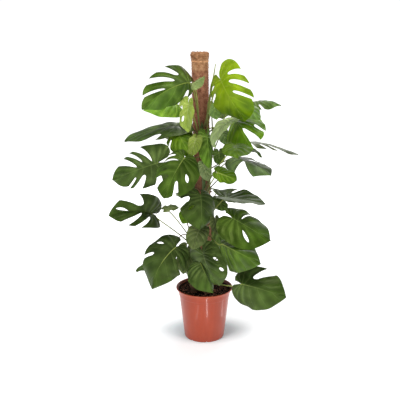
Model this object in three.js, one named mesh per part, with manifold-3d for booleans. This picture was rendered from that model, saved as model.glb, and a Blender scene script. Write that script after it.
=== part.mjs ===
// A swiss cheese plant climbing a coir pole in a plastic nursery pot.
// Millimetres, +Z up, the origin in the middle of the pot's base, the front of the plant towards -Y.

import * as THREE from 'three';
import { mergeVertices } from 'three/addons/utils/BufferGeometryUtils.js';
import Module from 'manifold-3d';

const wasm = await Module();
wasm.setup();

// Driving dimensions
const GAP = 0.3;

const POT_HEIGHT = 223;
const POT_LIP_RADIUS = 120;
const POT_LIP_DEPTH = 7;
const POT_BODY_TOP_RADIUS = 111;
const POT_COLLAR_HEIGHT = 188;
const POT_COLLAR_STEP = 1.5;
const POT_BASE_RADIUS = 86;
const POT_BASE_ROUNDING = 4;
const POT_WALL = 2.2;
const POT_SEGMENTS = 32;
const DRAIN_HOLES = 8;
const DRAIN_HOLE_RADIUS = 5;
const DRAIN_CIRCLE_RADIUS = 64;

const SOIL_LEVEL = 206;
const SOIL_BUMP = 1.8;
const SOIL_HEAP = 4;
const SOIL_RINGS = 3;

const POLE_RADIUS = 33;
const POLE_TOP = 1203;
const POLE_BOTTOM = 120;
const POLE_FOOT_X = 3.5;
const POLE_HEAD_X = -19.5;
const POLE_RIDGE = 1.2;
const POLE_RIDGE_SPACING = 84;
const POLE_FLARE = 3.5;
const POLE_FLARE_HEIGHT = 25;
const POLE_SIDES = 18;
const POLE_RING_SPACING = 56;
const STAKE_RADIUS = 14;
const STAKE_SIDES = 12;
const STAKE_RECESS = 6;

const STEM_FOOT = 140;
const STEM_FOOT_RADIUS = 10;
const STEM_HEAD_RADIUS = 7;
const STEM_STANDOFF = 1.5;
const STEM_SIDES = 8;
const STEM_STEP = 45;
const STEM_KNOT = 1;
const STEM_TIP_LENGTH = 30;
const STEM_TIP_RADIUS = 2;
const STEM_TURN_LENGTH = 700;

const BLADE_THICKNESS = 0.8;
const SHEATH_RADIUS = 4;
const PETIOLE_RADIUS = 2.3;
const PETIOLE_SIDES = 4;
const PETIOLE_STEPS = 6;
const KNUCKLE_RADIUS = 2.8;
const LEAVE_SLOPE = 1.4;
const ARRIVE_SLOPE = 0.9;
const CURVE_HOLD = 0.3;

// Right half of a flat blade, as shares of its length: sinus corner, basal lobe, side, tip.
const MARGIN = [
  [-0.19, 0.05], [-0.25, 0.16], [-0.2, 0.32], [-0.03, 0.43], [0.23, 0.475],
  [0.5, 0.46], [0.73, 0.36], [0.9, 0.17], [1, 0],
];
const HALF_WIDTH = 0.475;
const MIDRIB_REACH = 0.93;
const VEIN_SWEEP = 0.11;
const FINGER_ROUNDING = 0.13;
const FINGER_POINT_ROUNDING = 0.03;
const FINGER_CORNER = 0.09;
const SLIT_MOUTH = 1.2;

// A gap lies along a vein line. along is that line's place on the margin, from sinus 0 to tip 1,
// and root and end are shares of the way from the midrib to the margin. width is how far the gap
// opens to each side near its root, and mouth how many times that it opens at the margin.
const slit = (along, root, width, mouth = SLIT_MOUTH) => ({ along, root, end: 1, width, mouth });
const hole = (along, root, end, width) => ({ along, root, end, width });
const uncut = (along) => ({ along, root: 1, end: 1, width: 0 });

const CUTS = {
  entire: [uncut(0.5)],
  nick: [slit(0.6, 0.45, 0.022)],
  two: [slit(0.5, 0.34, 0.026), slit(0.7, 0.36, 0.024)],
  three: [slit(0.42, 0.34, 0.024), slit(0.58, 0.3, 0.028), slit(0.74, 0.34, 0.024)],
  threeHoled: [hole(0.4, 0.25, 0.75, 0.028), slit(0.57, 0.3, 0.028), slit(0.74, 0.34, 0.024)],
  twoHoled: [hole(0.45, 0.25, 0.75, 0.03), slit(0.68, 0.36, 0.024)],
};

const TONES = {
  lime: 0xa3bd1c,
  bright: 0x6f9a2c,
  mid: 0x4c7a26,
  dark: 0x335722,
  grey: 0x56704c,
  pale: 0xa5b56a,
};

const STEMS = {
  front: { name: 'stem_front', angle: -75, turn: -10, head: 905 },
  left: { name: 'stem_left', angle: -150, turn: 12, head: 760 },
  back: { name: 'stem_back', angle: 65, turn: 20, head: 850 },
};

// Leaves. joint is where petiole and blade meet, tip the blade's point, and faces where its upper
// side looks. width is a share of the length and bend the midrib's arc in degrees. fold raises
// each half, left then right as seen from the joint towards the tip, and curl bends it on its way
// out, in degrees. from is the height at which the petiole leaves its stem.
const LEAVES = [
  {
    name: 'leaf_01', joint: [-57, -94, 1097], tip: [-235, -215, 1010], faces: [-0.16, -0.89, 0.44],
    width: 0.73, bend: 75, fold: [-59, 1], curl: [-22, 19],
    cuts: [
      [slit(0.42, 0.3, 0.06), uncut(0.61), uncut(0.81)],
      [slit(0.59, 0.41, 0.045, 0.9), slit(0.73, 0.26, 0.042, 0.8), slit(0.86, 0.17, 0.03, 0.45)],
    ],
    stem: 'front', from: 892, tone: 'mid',
  },
  {
    name: 'leaf_02', joint: [58, -139, 1115], tip: [155, -153, 959], faces: [-0.26, -0.96, 0.1],
    width: 1.11, bend: 75, fold: [33, -31], curl: [-32, -14],
    cuts: [
      [slit(0.49, 0.38, 0.026), slit(0.61, 0.3, 0.035, 0.8), slit(0.71, 0.29, 0.03, 0.35)],
      [hole(0.39, 0.4, 0.75, 0.03), slit(0.53, 0.5, 0.03), uncut(0.76)],
    ],
    stem: 'front', from: 903, tone: 'lime',
  },
  {
    name: 'leaf_03', joint: [121, -52, 1012], tip: [213, -127, 958], faces: [0.1, -0.57, 0.82],
    width: 0.95, bend: 41, fold: [-11, 8], curl: [-24, -30],
    cuts: [
      CUTS.entire,
      CUTS.entire,
    ],
    stem: 'front', from: 800, tone: 'mid',
  },
  {
    name: 'leaf_05', joint: [36, -42, 1006], tip: [48, -66, 948], faces: [-0.1, -0.9, 0.3],
    width: 0.9, bend: 20, fold: [8, 8], curl: [-20, -20],
    cuts: [
      CUTS.entire,
      CUTS.entire,
    ],
    stem: 'front', from: 838, tone: 'mid',
  },
  {
    name: 'leaf_06', joint: [119, -28, 946], tip: [179, -195, 852], faces: [-0.12, -0.94, 0.33],
    width: 1.13, bend: 59, fold: [-17, -37], curl: [-32, -15],
    cuts: [
      [slit(0.72, 0.6, 0.035, 0.7), slit(0.9, 0.21, 0.05)],
      [slit(0.36, 0.6, 0.04), uncut(0.68)],
    ],
    stem: 'front', from: 725, lift: 0.4, tone: 'bright',
  },
  {
    name: 'leaf_07', joint: [96, -139, 953], tip: [37, -170, 859], faces: [-0.81, -0.15, 0.57],
    width: 0.7, bend: 75, fold: [10, 32], curl: [-45, -25],
    cuts: [
      CUTS.entire,
      CUTS.entire,
    ],
    stem: 'front', from: 890, tone: 'grey',
  },
  {
    name: 'leaf_08', joint: [116, -202, 875], tip: [121, -314, 847], faces: [0.02, -0.6, 0.8],
    width: 1.03, bend: 24, fold: [5, 2], curl: [-27, -32],
    cuts: [
      CUTS.entire,
      CUTS.entire,
    ],
    stem: 'front', from: 650, leave: 1.9, tone: 'bright',
  },
  {
    name: 'leaf_09', joint: [203, 79, 999], tip: [313, 69, 983], faces: [0, 0.16, 0.99],
    width: 1, bend: 51, fold: [3, -21], curl: [-19, -50],
    cuts: [
      CUTS.entire,
      [slit(0.55, 0.5, 0.03)],
    ],
    stem: 'back', from: 850, tone: 'dark',
  },
  {
    name: 'leaf_10', joint: [189, 67, 832], tip: [393, 71, 776], faces: [0.13, 0.23, 0.96],
    width: 0.69, bend: 24, fold: [3, -6], curl: [6, -27],
    cuts: [
      [slit(0.42, 0.34, 0.024), slit(0.62, 0.3, 0.028), slit(0.72, 0.34, 0.024)],
      [slit(0.42, 0.34, 0.024), slit(0.57, 0.3, 0.028), slit(0.67, 0.34, 0.024)],
    ],
    stem: 'back', from: 660, tone: 'grey',
  },
  {
    name: 'leaf_12', joint: [144, -19, 783], tip: [263, -103, 731], faces: [0.05, -0.05, 1],
    width: 1.35, bend: 23, fold: [-10, 5], curl: [-6, -55],
    cuts: [
      [hole(0.62, 0.12, 0.9, 0.1), uncut(0.81)],
      [slit(0.635, 0.17, 0.06, 2.1), uncut(0.8)],
    ],
    stem: 'front', from: 635, tone: 'dark',
  },
  {
    name: 'leaf_13', joint: [48, -152, 757], tip: [124, -183, 732], faces: [-0.04, -0.67, 0.74],
    width: 1.07, bend: 8, fold: [-7, -64], curl: [-26, -26],
    cuts: [
      CUTS.entire,
      CUTS.entire,
    ],
    stem: 'front', from: 630, tone: 'bright',
  },
  {
    name: 'leaf_14', joint: [56, -77, 822], tip: [59, -68, 767], faces: [0.15, -0.94, 0.3],
    width: 0.91, bend: 21, fold: [8, 6], curl: [-19, -19],
    cuts: [
      CUTS.entire,
      CUTS.entire,
    ],
    stem: 'front', from: 760, tone: 'dark',
  },
  {
    name: 'leaf_15', joint: [82, -94, 641], tip: [244, -116, 618], faces: [0, -0.14, 0.99],
    width: 0.98, bend: 8, fold: [-3, 17], curl: [22, -10],
    cuts: [
      [slit(0.55, 0.49, 0.025), uncut(0.77)],
      [uncut(0.33), uncut(0.67)],
    ],
    stem: 'front', from: 520, tone: 'dark',
  },
  {
    name: 'leaf_16', joint: [106, -209, 589], tip: [252, -254, 509], faces: [0.29, -0.71, 0.64],
    width: 1.16, bend: 8, fold: [-23, -3], curl: [-9, -25],
    cuts: [
      [slit(0.55, 0.18, 0.02, 0.5), uncut(0.78)],
      [hole(0.77, 0.32, 0.78, 0.025), uncut(0.88)],
    ],
    stem: 'front', from: 505, tone: 'mid',
  },
  {
    name: 'leaf_17', joint: [65, -213, 485], tip: [212, -314, 438], faces: [-0.03, -0.95, 0.3],
    width: 1.19, bend: 75, fold: [-48, -43], curl: [-32, -6],
    cuts: [
      CUTS.entire,
      CUTS.entire,
    ],
    stem: 'front', from: 458, tone: 'mid',
  },
  {
    name: 'leaf_18', joint: [40, -172, 572], tip: [48, -190, 515], faces: [0.5, -0.85, 0.1],
    width: 0.85, bend: 20, fold: [5, 5], curl: [-25, -25],
    cuts: [
      CUTS.entire,
      CUTS.entire,
    ],
    stem: 'front', from: 482, tone: 'grey',
  },
  {
    name: 'leaf_19', joint: [144, -205, 315], tip: [318, -267, 282], faces: [0.11, -0.87, 0.48],
    width: 1.1, bend: 38, fold: [-19, -32], curl: [-6, -20],
    cuts: [
      [slit(0.65, 0.34, 0.065, 1)],
      CUTS.entire,
    ],
    stem: 'front', from: 232, tone: 'dark',
  },
  {
    name: 'leaf_20', joint: [-114, -192, 465], tip: [-206, -222, 299], faces: [-0.43, -0.68, 0.59],
    width: 1.08, bend: 75, fold: [-55, -4], curl: [-22, -6],
    cuts: [
      [slit(0.57, 0.26, 0.03), uncut(0.72), uncut(0.86)],
      [hole(0.48, 0.46, 0.8, 0.02), slit(0.65, 0.54, 0.025, 0.8), uncut(0.82)],
    ],
    stem: 'left', from: 418, tone: 'mid',
  },
  {
    name: 'leaf_21', joint: [-165, -30, 353], tip: [-285, -50, 308], faces: [-0.2, 0, 1],
    width: 0.9, bend: 30, fold: [4, 4], curl: [-20, -20],
    cuts: [
      CUTS.nick,
      CUTS.nick,
    ],
    stem: 'left', from: 260, tone: 'dark',
  },
  {
    name: 'leaf_22', joint: [-72, -50, 410], tip: [-88, -97, 314], faces: [-0.2, -0.9, 0.4],
    width: 0.8, bend: 30, fold: [4, 4], curl: [-20, -20],
    cuts: [
      CUTS.nick,
      CUTS.nick,
    ],
    stem: 'left', from: 320, tone: 'grey',
  },
  {
    name: 'leaf_23', joint: [-18, -221, 408], tip: [32, -296, 313], faces: [-0.01, -0.86, 0.51],
    width: 1.11, bend: 60, fold: [-66, -15], curl: [-28, -12],
    cuts: [
      CUTS.entire,
      CUTS.entire,
    ],
    stem: 'front', from: 240, leave: 0.1, lift: 4, hold: 0.5, tone: 'mid',
  },
  {
    name: 'leaf_24', joint: [-8, -153, 430], tip: [60, -136, 278], faces: [-0.63, -0.74, 0.25],
    width: 1.05, bend: 41, fold: [3, -3], curl: [-41, -23],
    cuts: [
      [hole(0.59, 0.44, 0.65, 0.03), hole(0.7, 0.64, 0.85, 0.03)],
      [uncut(0.33), uncut(0.67)],
    ],
    stem: 'front', from: 340, tone: 'dark',
  },
  {
    name: 'leaf_25', joint: [-17, -168, 670], tip: [-19, -204, 539], faces: [0.31, -0.68, 0.66],
    width: 1.25, bend: 53, fold: [-20, -7], curl: [-20, -18],
    cuts: [
      [uncut(0.33), uncut(0.67)],
      [slit(0.5, 0.47, 0.06), hole(0.68, 0.3, 0.65, 0.035)],
    ],
    stem: 'front', from: 560, tone: 'dark',
  },
  {
    name: 'leaf_26', joint: [-20, -160, 530], tip: [-48, -225, 465], faces: [-0.1, -0.75, 0.6],
    width: 0.95, bend: 30, fold: [10, 10], curl: [-25, -25],
    cuts: [
      CUTS.entire,
      CUTS.entire,
    ],
    stem: 'front', from: 420, tone: 'grey',
  },
  {
    name: 'leaf_27', joint: [-217, -45, 559], tip: [-381, -149, 579], faces: [-0.03, -0.81, 0.59],
    width: 0.78, bend: 64, fold: [23, 42], curl: [-36, 6],
    cuts: [
      [slit(0.63, 0.32, 0.03), slit(0.77, 0.15, 0.035), uncut(0.89)],
      [uncut(0.34), slit(0.68, 0.35, 0.07), hole(0.87, 0.14, 0.85, 0.028)],
    ],
    stem: 'left', from: 400, tone: 'dark',
  },
  {
    name: 'leaf_28', joint: [-159, -52, 580], tip: [-105, -30, 580], faces: [0.1, -0.15, 0.98],
    width: 0.95, bend: 40, fold: [6, 6], curl: [-20, -20],
    cuts: [
      CUTS.entire,
      CUTS.entire,
    ],
    stem: 'left', from: 425, tone: 'grey',
  },
  {
    name: 'leaf_29', joint: [-180, -147, 794], tip: [-369, -54, 701], faces: [-0.12, -0.89, 0.44],
    width: 0.8, bend: 19, fold: [-20, 6], curl: [-38, -27],
    cuts: [
      [slit(0.48, 0.3, 0.035), slit(0.7, 0.32, 0.04), slit(0.79, 0.4, 0.015, 0.8)],
      [slit(0.58, 0.12, 0.035), slit(0.68, 0.25, 0.02), slit(0.78, 0.16, 0.035)],
    ],
    stem: 'left', from: 640, tone: 'dark',
  },
  {
    name: 'leaf_31', joint: [-79, -193, 824], tip: [-153, -291, 688], faces: [-0.14, -0.76, 0.63],
    width: 1.09, bend: 37, fold: [-47, -8], curl: [6, -38],
    cuts: [
      [uncut(0.34), hole(0.68, 0.43, 0.72, 0.04), slit(0.86, 0.45, 0.03), uncut(0.93)],
      [
        slit(0.39, 0.4, 0.032, 1),
        slit(0.49, 0.12, 0.032, 0.7),
        hole(0.65, 0.35, 0.65, 0.02),
        slit(0.76, 0.24, 0.05),
      ],
    ],
    stem: 'front', from: 782, tone: 'mid',
  },
  {
    name: 'leaf_32', joint: [-101, -16, 915], tip: [-322, -20, 852], faces: [-0.07, -0.08, 0.99],
    width: 0.84, bend: 31, fold: [-1, 8], curl: [-22, -27],
    cuts: [
      [slit(0.64, 0.66, 0.035)],
      CUTS.entire,
    ],
    stem: 'left', from: 740, tone: 'dark',
  },
  {
    name: 'leaf_33', joint: [-111, -21, 999], tip: [-242, -50, 981], faces: [-0.07, -0.24, 0.97],
    width: 0.98, bend: 60, fold: [-18, 0], curl: [-40, -30],
    cuts: [
      CUTS.entire,
      CUTS.entire,
    ],
    stem: 'front', from: 850, tone: 'bright',
  },
  {
    name: 'leaf_34', joint: [-62, -133, 1019], tip: [-68, -120, 907], faces: [-0.63, -0.77, 0.14],
    width: 0.82, bend: 16, fold: [27, 5], curl: [-15, -11],
    cuts: [
      [uncut(0.33), uncut(0.67)],
      [slit(0.55, 0.5, 0.05), hole(0.77, 0.4, 0.8, 0.05)],
    ],
    stem: 'front', from: 834, tone: 'pale',
  },
  {
    name: 'leaf_35', joint: [-112, -60, 900], tip: [-59, -145, 818], faces: [0.04, -0.86, 0.5],
    width: 0.97, bend: 58, fold: [-11, -18], curl: [-28, -24],
    cuts: [
      CUTS.entire,
      [slit(0.57, 0.5, 0.03)],
    ],
    stem: 'left', from: 690, tone: 'bright',
  },
  {
    name: 'leaf_36', joint: [-34, -129, 886], tip: [-55, -153, 818], faces: [-0.18, -0.87, 0.45],
    width: 0.8, bend: 18, fold: [10, -7], curl: [-20, -26],
    cuts: [
      CUTS.entire,
      CUTS.entire,
    ],
    stem: 'front', from: 808, tone: 'pale',
  },
  {
    name: 'leaf_37', joint: [8, -102, 891], tip: [16, -154, 773], faces: [0.4, -0.88, 0.24],
    width: 0.64, bend: 17, fold: [-24, -7], curl: [-35, -27],
    cuts: [
      CUTS.entire,
      CUTS.entire,
    ],
    stem: 'front', from: 819, tone: 'mid',
  },
  {
    name: 'leaf_38', joint: [-5, -66, 768], tip: [15, -86, 705], faces: [-0.2, -0.9, 0.2],
    width: 0.8, bend: 20, fold: [8, 8], curl: [-20, -20],
    cuts: [
      CUTS.entire,
      CUTS.entire,
    ],
    stem: 'front', from: 690, tone: 'grey',
  },
  {
    name: 'leaf_39', joint: [-45, -78, 598], tip: [-90, -118, 538], faces: [-0.2, -0.8, 0.5],
    width: 0.95, bend: 30, fold: [6, 6], curl: [-20, -20],
    cuts: [
      CUTS.entire,
      CUTS.entire,
    ],
    stem: 'front', from: 510, tone: 'bright',
  },
  {
    name: 'leaf_40', joint: [35, 170, 980], tip: [80, 320, 890], faces: [0.1, 0.7, 0.7],
    width: 1, bend: 40, fold: [4, 4], curl: [-25, -25],
    cuts: [
      CUTS.three,
      CUTS.three,
    ],
    stem: 'back', from: 800, tone: 'mid',
  },
  {
    name: 'leaf_41', joint: [-65, 160, 890], tip: [-150, 285, 800], faces: [-0.4, 0.6, 0.7],
    width: 1, bend: 40, fold: [4, 4], curl: [-25, -25],
    cuts: [
      CUTS.three,
      CUTS.three,
    ],
    stem: 'back', from: 740, tone: 'dark',
  },
  {
    name: 'leaf_42', joint: [57, 111, 618], tip: [137, 220, 531], faces: [0.5, 0.6, 0.6],
    width: 1, bend: 40, fold: [4, 4], curl: [-25, -25],
    cuts: [
      CUTS.three,
      CUTS.threeHoled,
    ],
    stem: 'back', from: 530, tone: 'dark',
  },
  {
    name: 'leaf_43', joint: [-27, 94, 621], tip: [-95, 222, 551], faces: [-0.1, 0.35, 0.93],
    width: 1, bend: 40, fold: [4, 4], curl: [-25, -25],
    cuts: [
      CUTS.threeHoled,
      CUTS.three,
    ],
    stem: 'back', from: 510, tone: 'mid',
  },
  {
    name: 'leaf_44', joint: [46, 125, 457], tip: [148, 224, 373], faces: [0.5, 0.3, 0.8],
    width: 1, bend: 40, fold: [4, 4], curl: [-25, -25],
    cuts: [
      CUTS.two,
      CUTS.two,
    ],
    stem: 'back', from: 350, tone: 'mid',
  },
  {
    name: 'leaf_45', joint: [109, 75, 372], tip: [189, 200, 289], faces: [0.05, 0.35, 0.93],
    width: 0.95, bend: 40, fold: [4, 4], curl: [-25, -25],
    cuts: [
      CUTS.two,
      CUTS.two,
    ],
    stem: 'back', from: 290, tone: 'dark',
  },
  {
    name: 'leaf_46', joint: [43, 62, 587], tip: [95, 40, 547], faces: [0.1, -0.6, 0.8],
    width: 0.95, bend: 30, fold: [6, 6], curl: [-20, -20],
    cuts: [
      CUTS.entire,
      CUTS.entire,
    ],
    stem: 'back', from: 537, tone: 'dark',
  },
  {
    name: 'leaf_47', joint: [45, 58, 482], tip: [73, 40, 381], faces: [0.3, -0.9, 0.3],
    width: 0.8, bend: 30, fold: [6, 6], curl: [-20, -20],
    cuts: [
      CUTS.entire,
      CUTS.entire,
    ],
    stem: 'back', from: 432, tone: 'dark',
  },
  {
    name: 'leaf_48', joint: [69, 30, 887], tip: [93, 6, 831], faces: [0.3, -0.85, 0.4],
    width: 0.85, bend: 30, fold: [6, 6], curl: [-20, -20],
    cuts: [
      CUTS.entire,
      CUTS.entire,
    ],
    stem: 'back', from: 838, tone: 'dark',
  },
  {
    name: 'leaf_49', joint: [155, -20, 816], tip: [229, -60, 796], faces: [0.15, -0.02, 1],
    width: 0.6, bend: 75, fold: [6, 6], curl: [-20, -20],
    cuts: [
      CUTS.entire,
      CUTS.entire,
    ],
    stem: 'back', from: 700, tone: 'dark',
  },
  {
    name: 'leaf_50', joint: [-47, -112, 1093], tip: [-1, -122, 1123], faces: [-0.1, -0.95, 0.3],
    width: 1.05, bend: 20, fold: [-70, 8], curl: [-10, -25],
    cuts: [
      CUTS.entire,
      CUTS.entire,
    ],
    stem: 'front', from: 864, leave: 1.2, tone: 'grey',
  },
];

const radians = THREE.MathUtils.degToRad;
const UP = new THREE.Vector3(0, 0, 1);

// Solids

function solidFromTriangles(points, triangles) {
  const mesh = new wasm.Mesh({
    numProp: 3,
    vertProperties: new Float32Array(points.flatMap((point) => [point.x, point.y, point.z])),
    triVerts: new Uint32Array(triangles.flat()),
  });
  return new wasm.Manifold(mesh);
}

function solidFromGeometry(geometry) {
  geometry.deleteAttribute('normal');
  geometry.deleteAttribute('uv');
  const merged = mergeVertices(geometry);
  return new wasm.Manifold(new wasm.Mesh({
    numProp: 3,
    vertProperties: new Float32Array(merged.attributes.position.array),
    triVerts: new Uint32Array(merged.index.array),
  }));
}

function meshFromSolid(name, solid, material) {
  const { vertProperties, triVerts } = solid.getMesh();
  const geometry = new THREE.BufferGeometry();
  geometry.setAttribute('position', new THREE.BufferAttribute(vertProperties, 3));
  geometry.setIndex(new THREE.BufferAttribute(triVerts, 1));
  const mesh = new THREE.Mesh(geometry, material);
  mesh.name = name;
  return mesh;
}

// A round solid along a line of centres, with a radius at each. Its frame turns as little as it can.
function sweep(centres, radii, sides) {
  const last = centres.length - 1;
  const points = [];
  const triangles = [];
  const across = new THREE.Vector3(1, 0.3, 0.2);
  centres.forEach((centre, i) => {
    const ahead = centres[Math.min(i + 1, last)];
    const behind = centres[Math.max(i - 1, 0)];
    const along = ahead.clone().sub(behind).normalize();
    across.addScaledVector(along, -across.dot(along)).normalize();
    const third = along.clone().cross(across);
    for (let k = 0; k < sides; k += 1) {
      const turn = (2 * Math.PI * k) / sides;
      points.push(centre.clone()
        .addScaledVector(across, radii[i] * Math.cos(turn))
        .addScaledVector(third, radii[i] * Math.sin(turn)));
    }
  });
  for (let i = 0; i < last; i += 1) {
    for (let k = 0; k < sides; k += 1) {
      const a = i * sides + k;
      const b = i * sides + ((k + 1) % sides);
      triangles.push([a, b, b + sides], [a, b + sides, a + sides]);
    }
  }
  for (let k = 1; k < sides - 1; k += 1) {
    const end = last * sides;
    triangles.push([0, k + 1, k], [end, end + k, end + k + 1]);
  }
  return solidFromTriangles(points, triangles);
}

// Pot and soil

function potWallRadius(height) {
  const rise = Math.min(height, POT_HEIGHT - POT_LIP_DEPTH);
  const share = rise / (POT_HEIGHT - POT_LIP_DEPTH);
  const collar = height < POT_COLLAR_HEIGHT ? POT_COLLAR_STEP : 0;
  return POT_BASE_RADIUS + (POT_BODY_TOP_RADIUS - POT_BASE_RADIUS) * share - collar;
}

function buildPot() {
  const underLip = POT_HEIGHT - POT_LIP_DEPTH;
  const profile = [
    [0, 0],
    [potWallRadius(0) - POT_BASE_ROUNDING, 0],
    [potWallRadius(0), POT_BASE_ROUNDING],
    [potWallRadius(POT_COLLAR_HEIGHT - 1), POT_COLLAR_HEIGHT - 1],
    [potWallRadius(POT_COLLAR_HEIGHT), POT_COLLAR_HEIGHT],
    [potWallRadius(underLip - 2), underLip - 2],
    [POT_LIP_RADIUS - 1, underLip + 1],
    [POT_LIP_RADIUS, POT_HEIGHT - 2],
    [POT_LIP_RADIUS - 1.5, POT_HEIGHT],
    [POT_LIP_RADIUS - POT_WALL - 1, POT_HEIGHT - 1],
    [potWallRadius(underLip) - POT_WALL + 1.5, underLip + 1],
    [potWallRadius(POT_COLLAR_HEIGHT) - POT_WALL - 0.5, POT_COLLAR_HEIGHT],
    [potWallRadius(POT_WALL) - POT_WALL, POT_WALL + 2],
    [0, POT_WALL],
  ].map(([radius, height]) => new THREE.Vector2(radius, height));
  const shell = new THREE.LatheGeometry(profile, POT_SEGMENTS);
  shell.rotateX(Math.PI / 2);
  let pot = solidFromGeometry(shell);
  for (let i = 0; i < DRAIN_HOLES; i += 1) {
    const turn = (2 * Math.PI * (i + 0.5)) / DRAIN_HOLES;
    const drill = new THREE.CylinderGeometry(DRAIN_HOLE_RADIUS, DRAIN_HOLE_RADIUS, 20, 8);
    drill.rotateX(Math.PI / 2);
    drill.translate(DRAIN_CIRCLE_RADIUS * Math.cos(turn), DRAIN_CIRCLE_RADIUS * Math.sin(turn), 0);
    pot = pot.subtract(solidFromGeometry(drill));
  }
  return pot;
}

function soilHeight(x, y) {
  const lumps = Math.sin(x / 17 + 0.4) * Math.cos(y / 13) + Math.sin((x + y) / 9) * 0.5;
  const heap = SOIL_HEAP * Math.max(0, 1 - Math.hypot(x, y) / POT_BASE_RADIUS);
  return SOIL_LEVEL + SOIL_BUMP * lumps + heap;
}

function buildSoil() {
  const foot = POT_WALL + 2 + GAP;
  const footRadius = potWallRadius(POT_WALL) - POT_WALL - 2;
  const bendHeight = POT_COLLAR_HEIGHT;
  const bendRadius = potWallRadius(bendHeight) - POT_WALL - 0.5 - GAP * 2;
  const topRadius = bendRadius + 0.8;
  const profile = [[0, foot], [footRadius, foot], [bendRadius, bendHeight], [topRadius, SOIL_LEVEL]];
  for (let i = SOIL_RINGS - 1; i >= 0; i -= 1) {
    profile.push([(topRadius * i) / SOIL_RINGS, SOIL_LEVEL]);
  }
  const body = new THREE.LatheGeometry(
    profile.map(([radius, height]) => new THREE.Vector2(radius, height)), POT_SEGMENTS,
  );
  body.rotateX(Math.PI / 2);
  const position = body.attributes.position;
  for (let i = 0; i < position.count; i += 1) {
    if (Math.abs(position.getZ(i) - SOIL_LEVEL) < 0.01) {
      position.setZ(i, soilHeight(position.getX(i), position.getY(i)));
    }
  }
  let soil = solidFromGeometry(body);
  soil = soil.subtract(coirShell(() => POLE_RADIUS + GAP, [POLE_BOTTOM - GAP, POLE_TOP]));
  soil = soil.subtract(buildStake(GAP));
  Object.values(STEMS).forEach((stem) => {
    soil = soil.subtract(buildStem(stem, GAP));
  });
  return soil;
}

// Coir pole

function poleCentre(height) {
  const share = height / POLE_TOP;
  return new THREE.Vector3(POLE_FOOT_X + (POLE_HEAD_X - POLE_FOOT_X) * share, 0, height);
}

function coirRadius(turn, height) {
  const winding = Math.abs(Math.sin((Math.PI * height) / POLE_RIDGE_SPACING + turn / 2));
  const flare = POLE_FLARE * Math.max(0, 1 - (POLE_TOP - height) / POLE_FLARE_HEIGHT);
  return POLE_RADIUS + POLE_RIDGE * (winding - 1) + flare;
}

function coirShell(radiusAt, heights) {
  const points = [];
  const triangles = [];
  heights.forEach((height) => {
    for (let k = 0; k < POLE_SIDES; k += 1) {
      const turn = (2 * Math.PI * k) / POLE_SIDES;
      const radius = radiusAt(turn, height);
      points.push(poleCentre(height).add(
        new THREE.Vector3(radius * Math.cos(turn), radius * Math.sin(turn), 0),
      ));
    }
  });
  const last = heights.length - 1;
  for (let i = 0; i < last; i += 1) {
    for (let k = 0; k < POLE_SIDES; k += 1) {
      const a = i * POLE_SIDES + k;
      const b = i * POLE_SIDES + ((k + 1) % POLE_SIDES);
      triangles.push([a, b, b + POLE_SIDES], [a, b + POLE_SIDES, a + POLE_SIDES]);
    }
  }
  for (let k = 1; k < POLE_SIDES - 1; k += 1) {
    const end = last * POLE_SIDES;
    triangles.push([0, k + 1, k], [end, end + k, end + k + 1]);
  }
  return solidFromTriangles(points, triangles);
}

function buildCoir() {
  const straight = POLE_TOP - POLE_FLARE_HEIGHT - POLE_BOTTOM;
  const steps = Math.round(straight / POLE_RING_SPACING);
  const heights = [];
  for (let i = 0; i <= steps; i += 1) {
    heights.push(POLE_BOTTOM + (straight * i) / steps);
  }
  heights.push(POLE_TOP - POLE_FLARE_HEIGHT / 2, POLE_TOP);
  const bore = coirShell(() => STAKE_RADIUS + GAP, [POLE_BOTTOM - 1, POLE_TOP + 1]);
  return coirShell(coirRadius, heights).subtract(bore);
}

function buildStake(grown) {
  const foot = POT_WALL + 2 + GAP - grown;
  const centres = [poleCentre(foot), poleCentre(POLE_TOP - STAKE_RECESS)];
  const radius = STAKE_RADIUS + grown;
  return sweep(centres, [radius, radius], STAKE_SIDES);
}

// Stems

function stemCentre(stem, height) {
  const turn = radians(stem.angle + (stem.turn * (height - SOIL_LEVEL)) / STEM_TURN_LENGTH);
  const reach = POLE_RADIUS + POLE_RIDGE + STEM_FOOT_RADIUS + STEM_STANDOFF;
  return poleCentre(height).add(
    new THREE.Vector3(reach * Math.cos(turn), reach * Math.sin(turn), 0),
  );
}

function buildStem(stem, grown) {
  const steps = Math.round((stem.head - STEM_FOOT) / STEM_STEP);
  const centres = [];
  const radii = [];
  for (let i = 0; i <= steps; i += 1) {
    const share = i / steps;
    const knot = i % 2 === 0 ? STEM_KNOT : 0;
    centres.push(stemCentre(stem, STEM_FOOT + (stem.head - STEM_FOOT) * share));
    radii.push(STEM_FOOT_RADIUS + (STEM_HEAD_RADIUS - STEM_FOOT_RADIUS) * share - knot + grown);
  }
  centres.push(stemCentre(stem, stem.head + STEM_TIP_LENGTH + grown));
  radii.push(STEM_TIP_RADIUS + grown);
  if (grown > 0) {
    centres.unshift(stemCentre(stem, STEM_FOOT - grown));
    radii.unshift(radii[0]);
  }
  return sweep(centres, radii, STEM_SIDES);
}

// Blades

// Catmull-Rom curve through the margin's points.
function marginPoint(along) {
  const spans = MARGIN.length - 1;
  const place = Math.min(Math.max(along, 0), 1) * spans;
  const span = Math.min(Math.floor(place), spans - 1);
  const s = place - span;
  const at = (i) => MARGIN[Math.min(Math.max(i, 0), spans)];
  const [before, start, end, after] = [at(span - 1), at(span), at(span + 1), at(span + 2)];
  return [0, 1].map((axis) => 0.5 * (
    2 * start[axis]
    + (end[axis] - before[axis]) * s
    + (2 * before[axis] - 5 * start[axis] + 4 * end[axis] - after[axis]) * s ** 2
    + (3 * start[axis] - before[axis] - 3 * end[axis] + after[axis]) * s ** 3
  ));
}

function midribPoint(along) {
  return MIDRIB_REACH * (0.04 * along + 0.96 * along ** 4);
}

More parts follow.
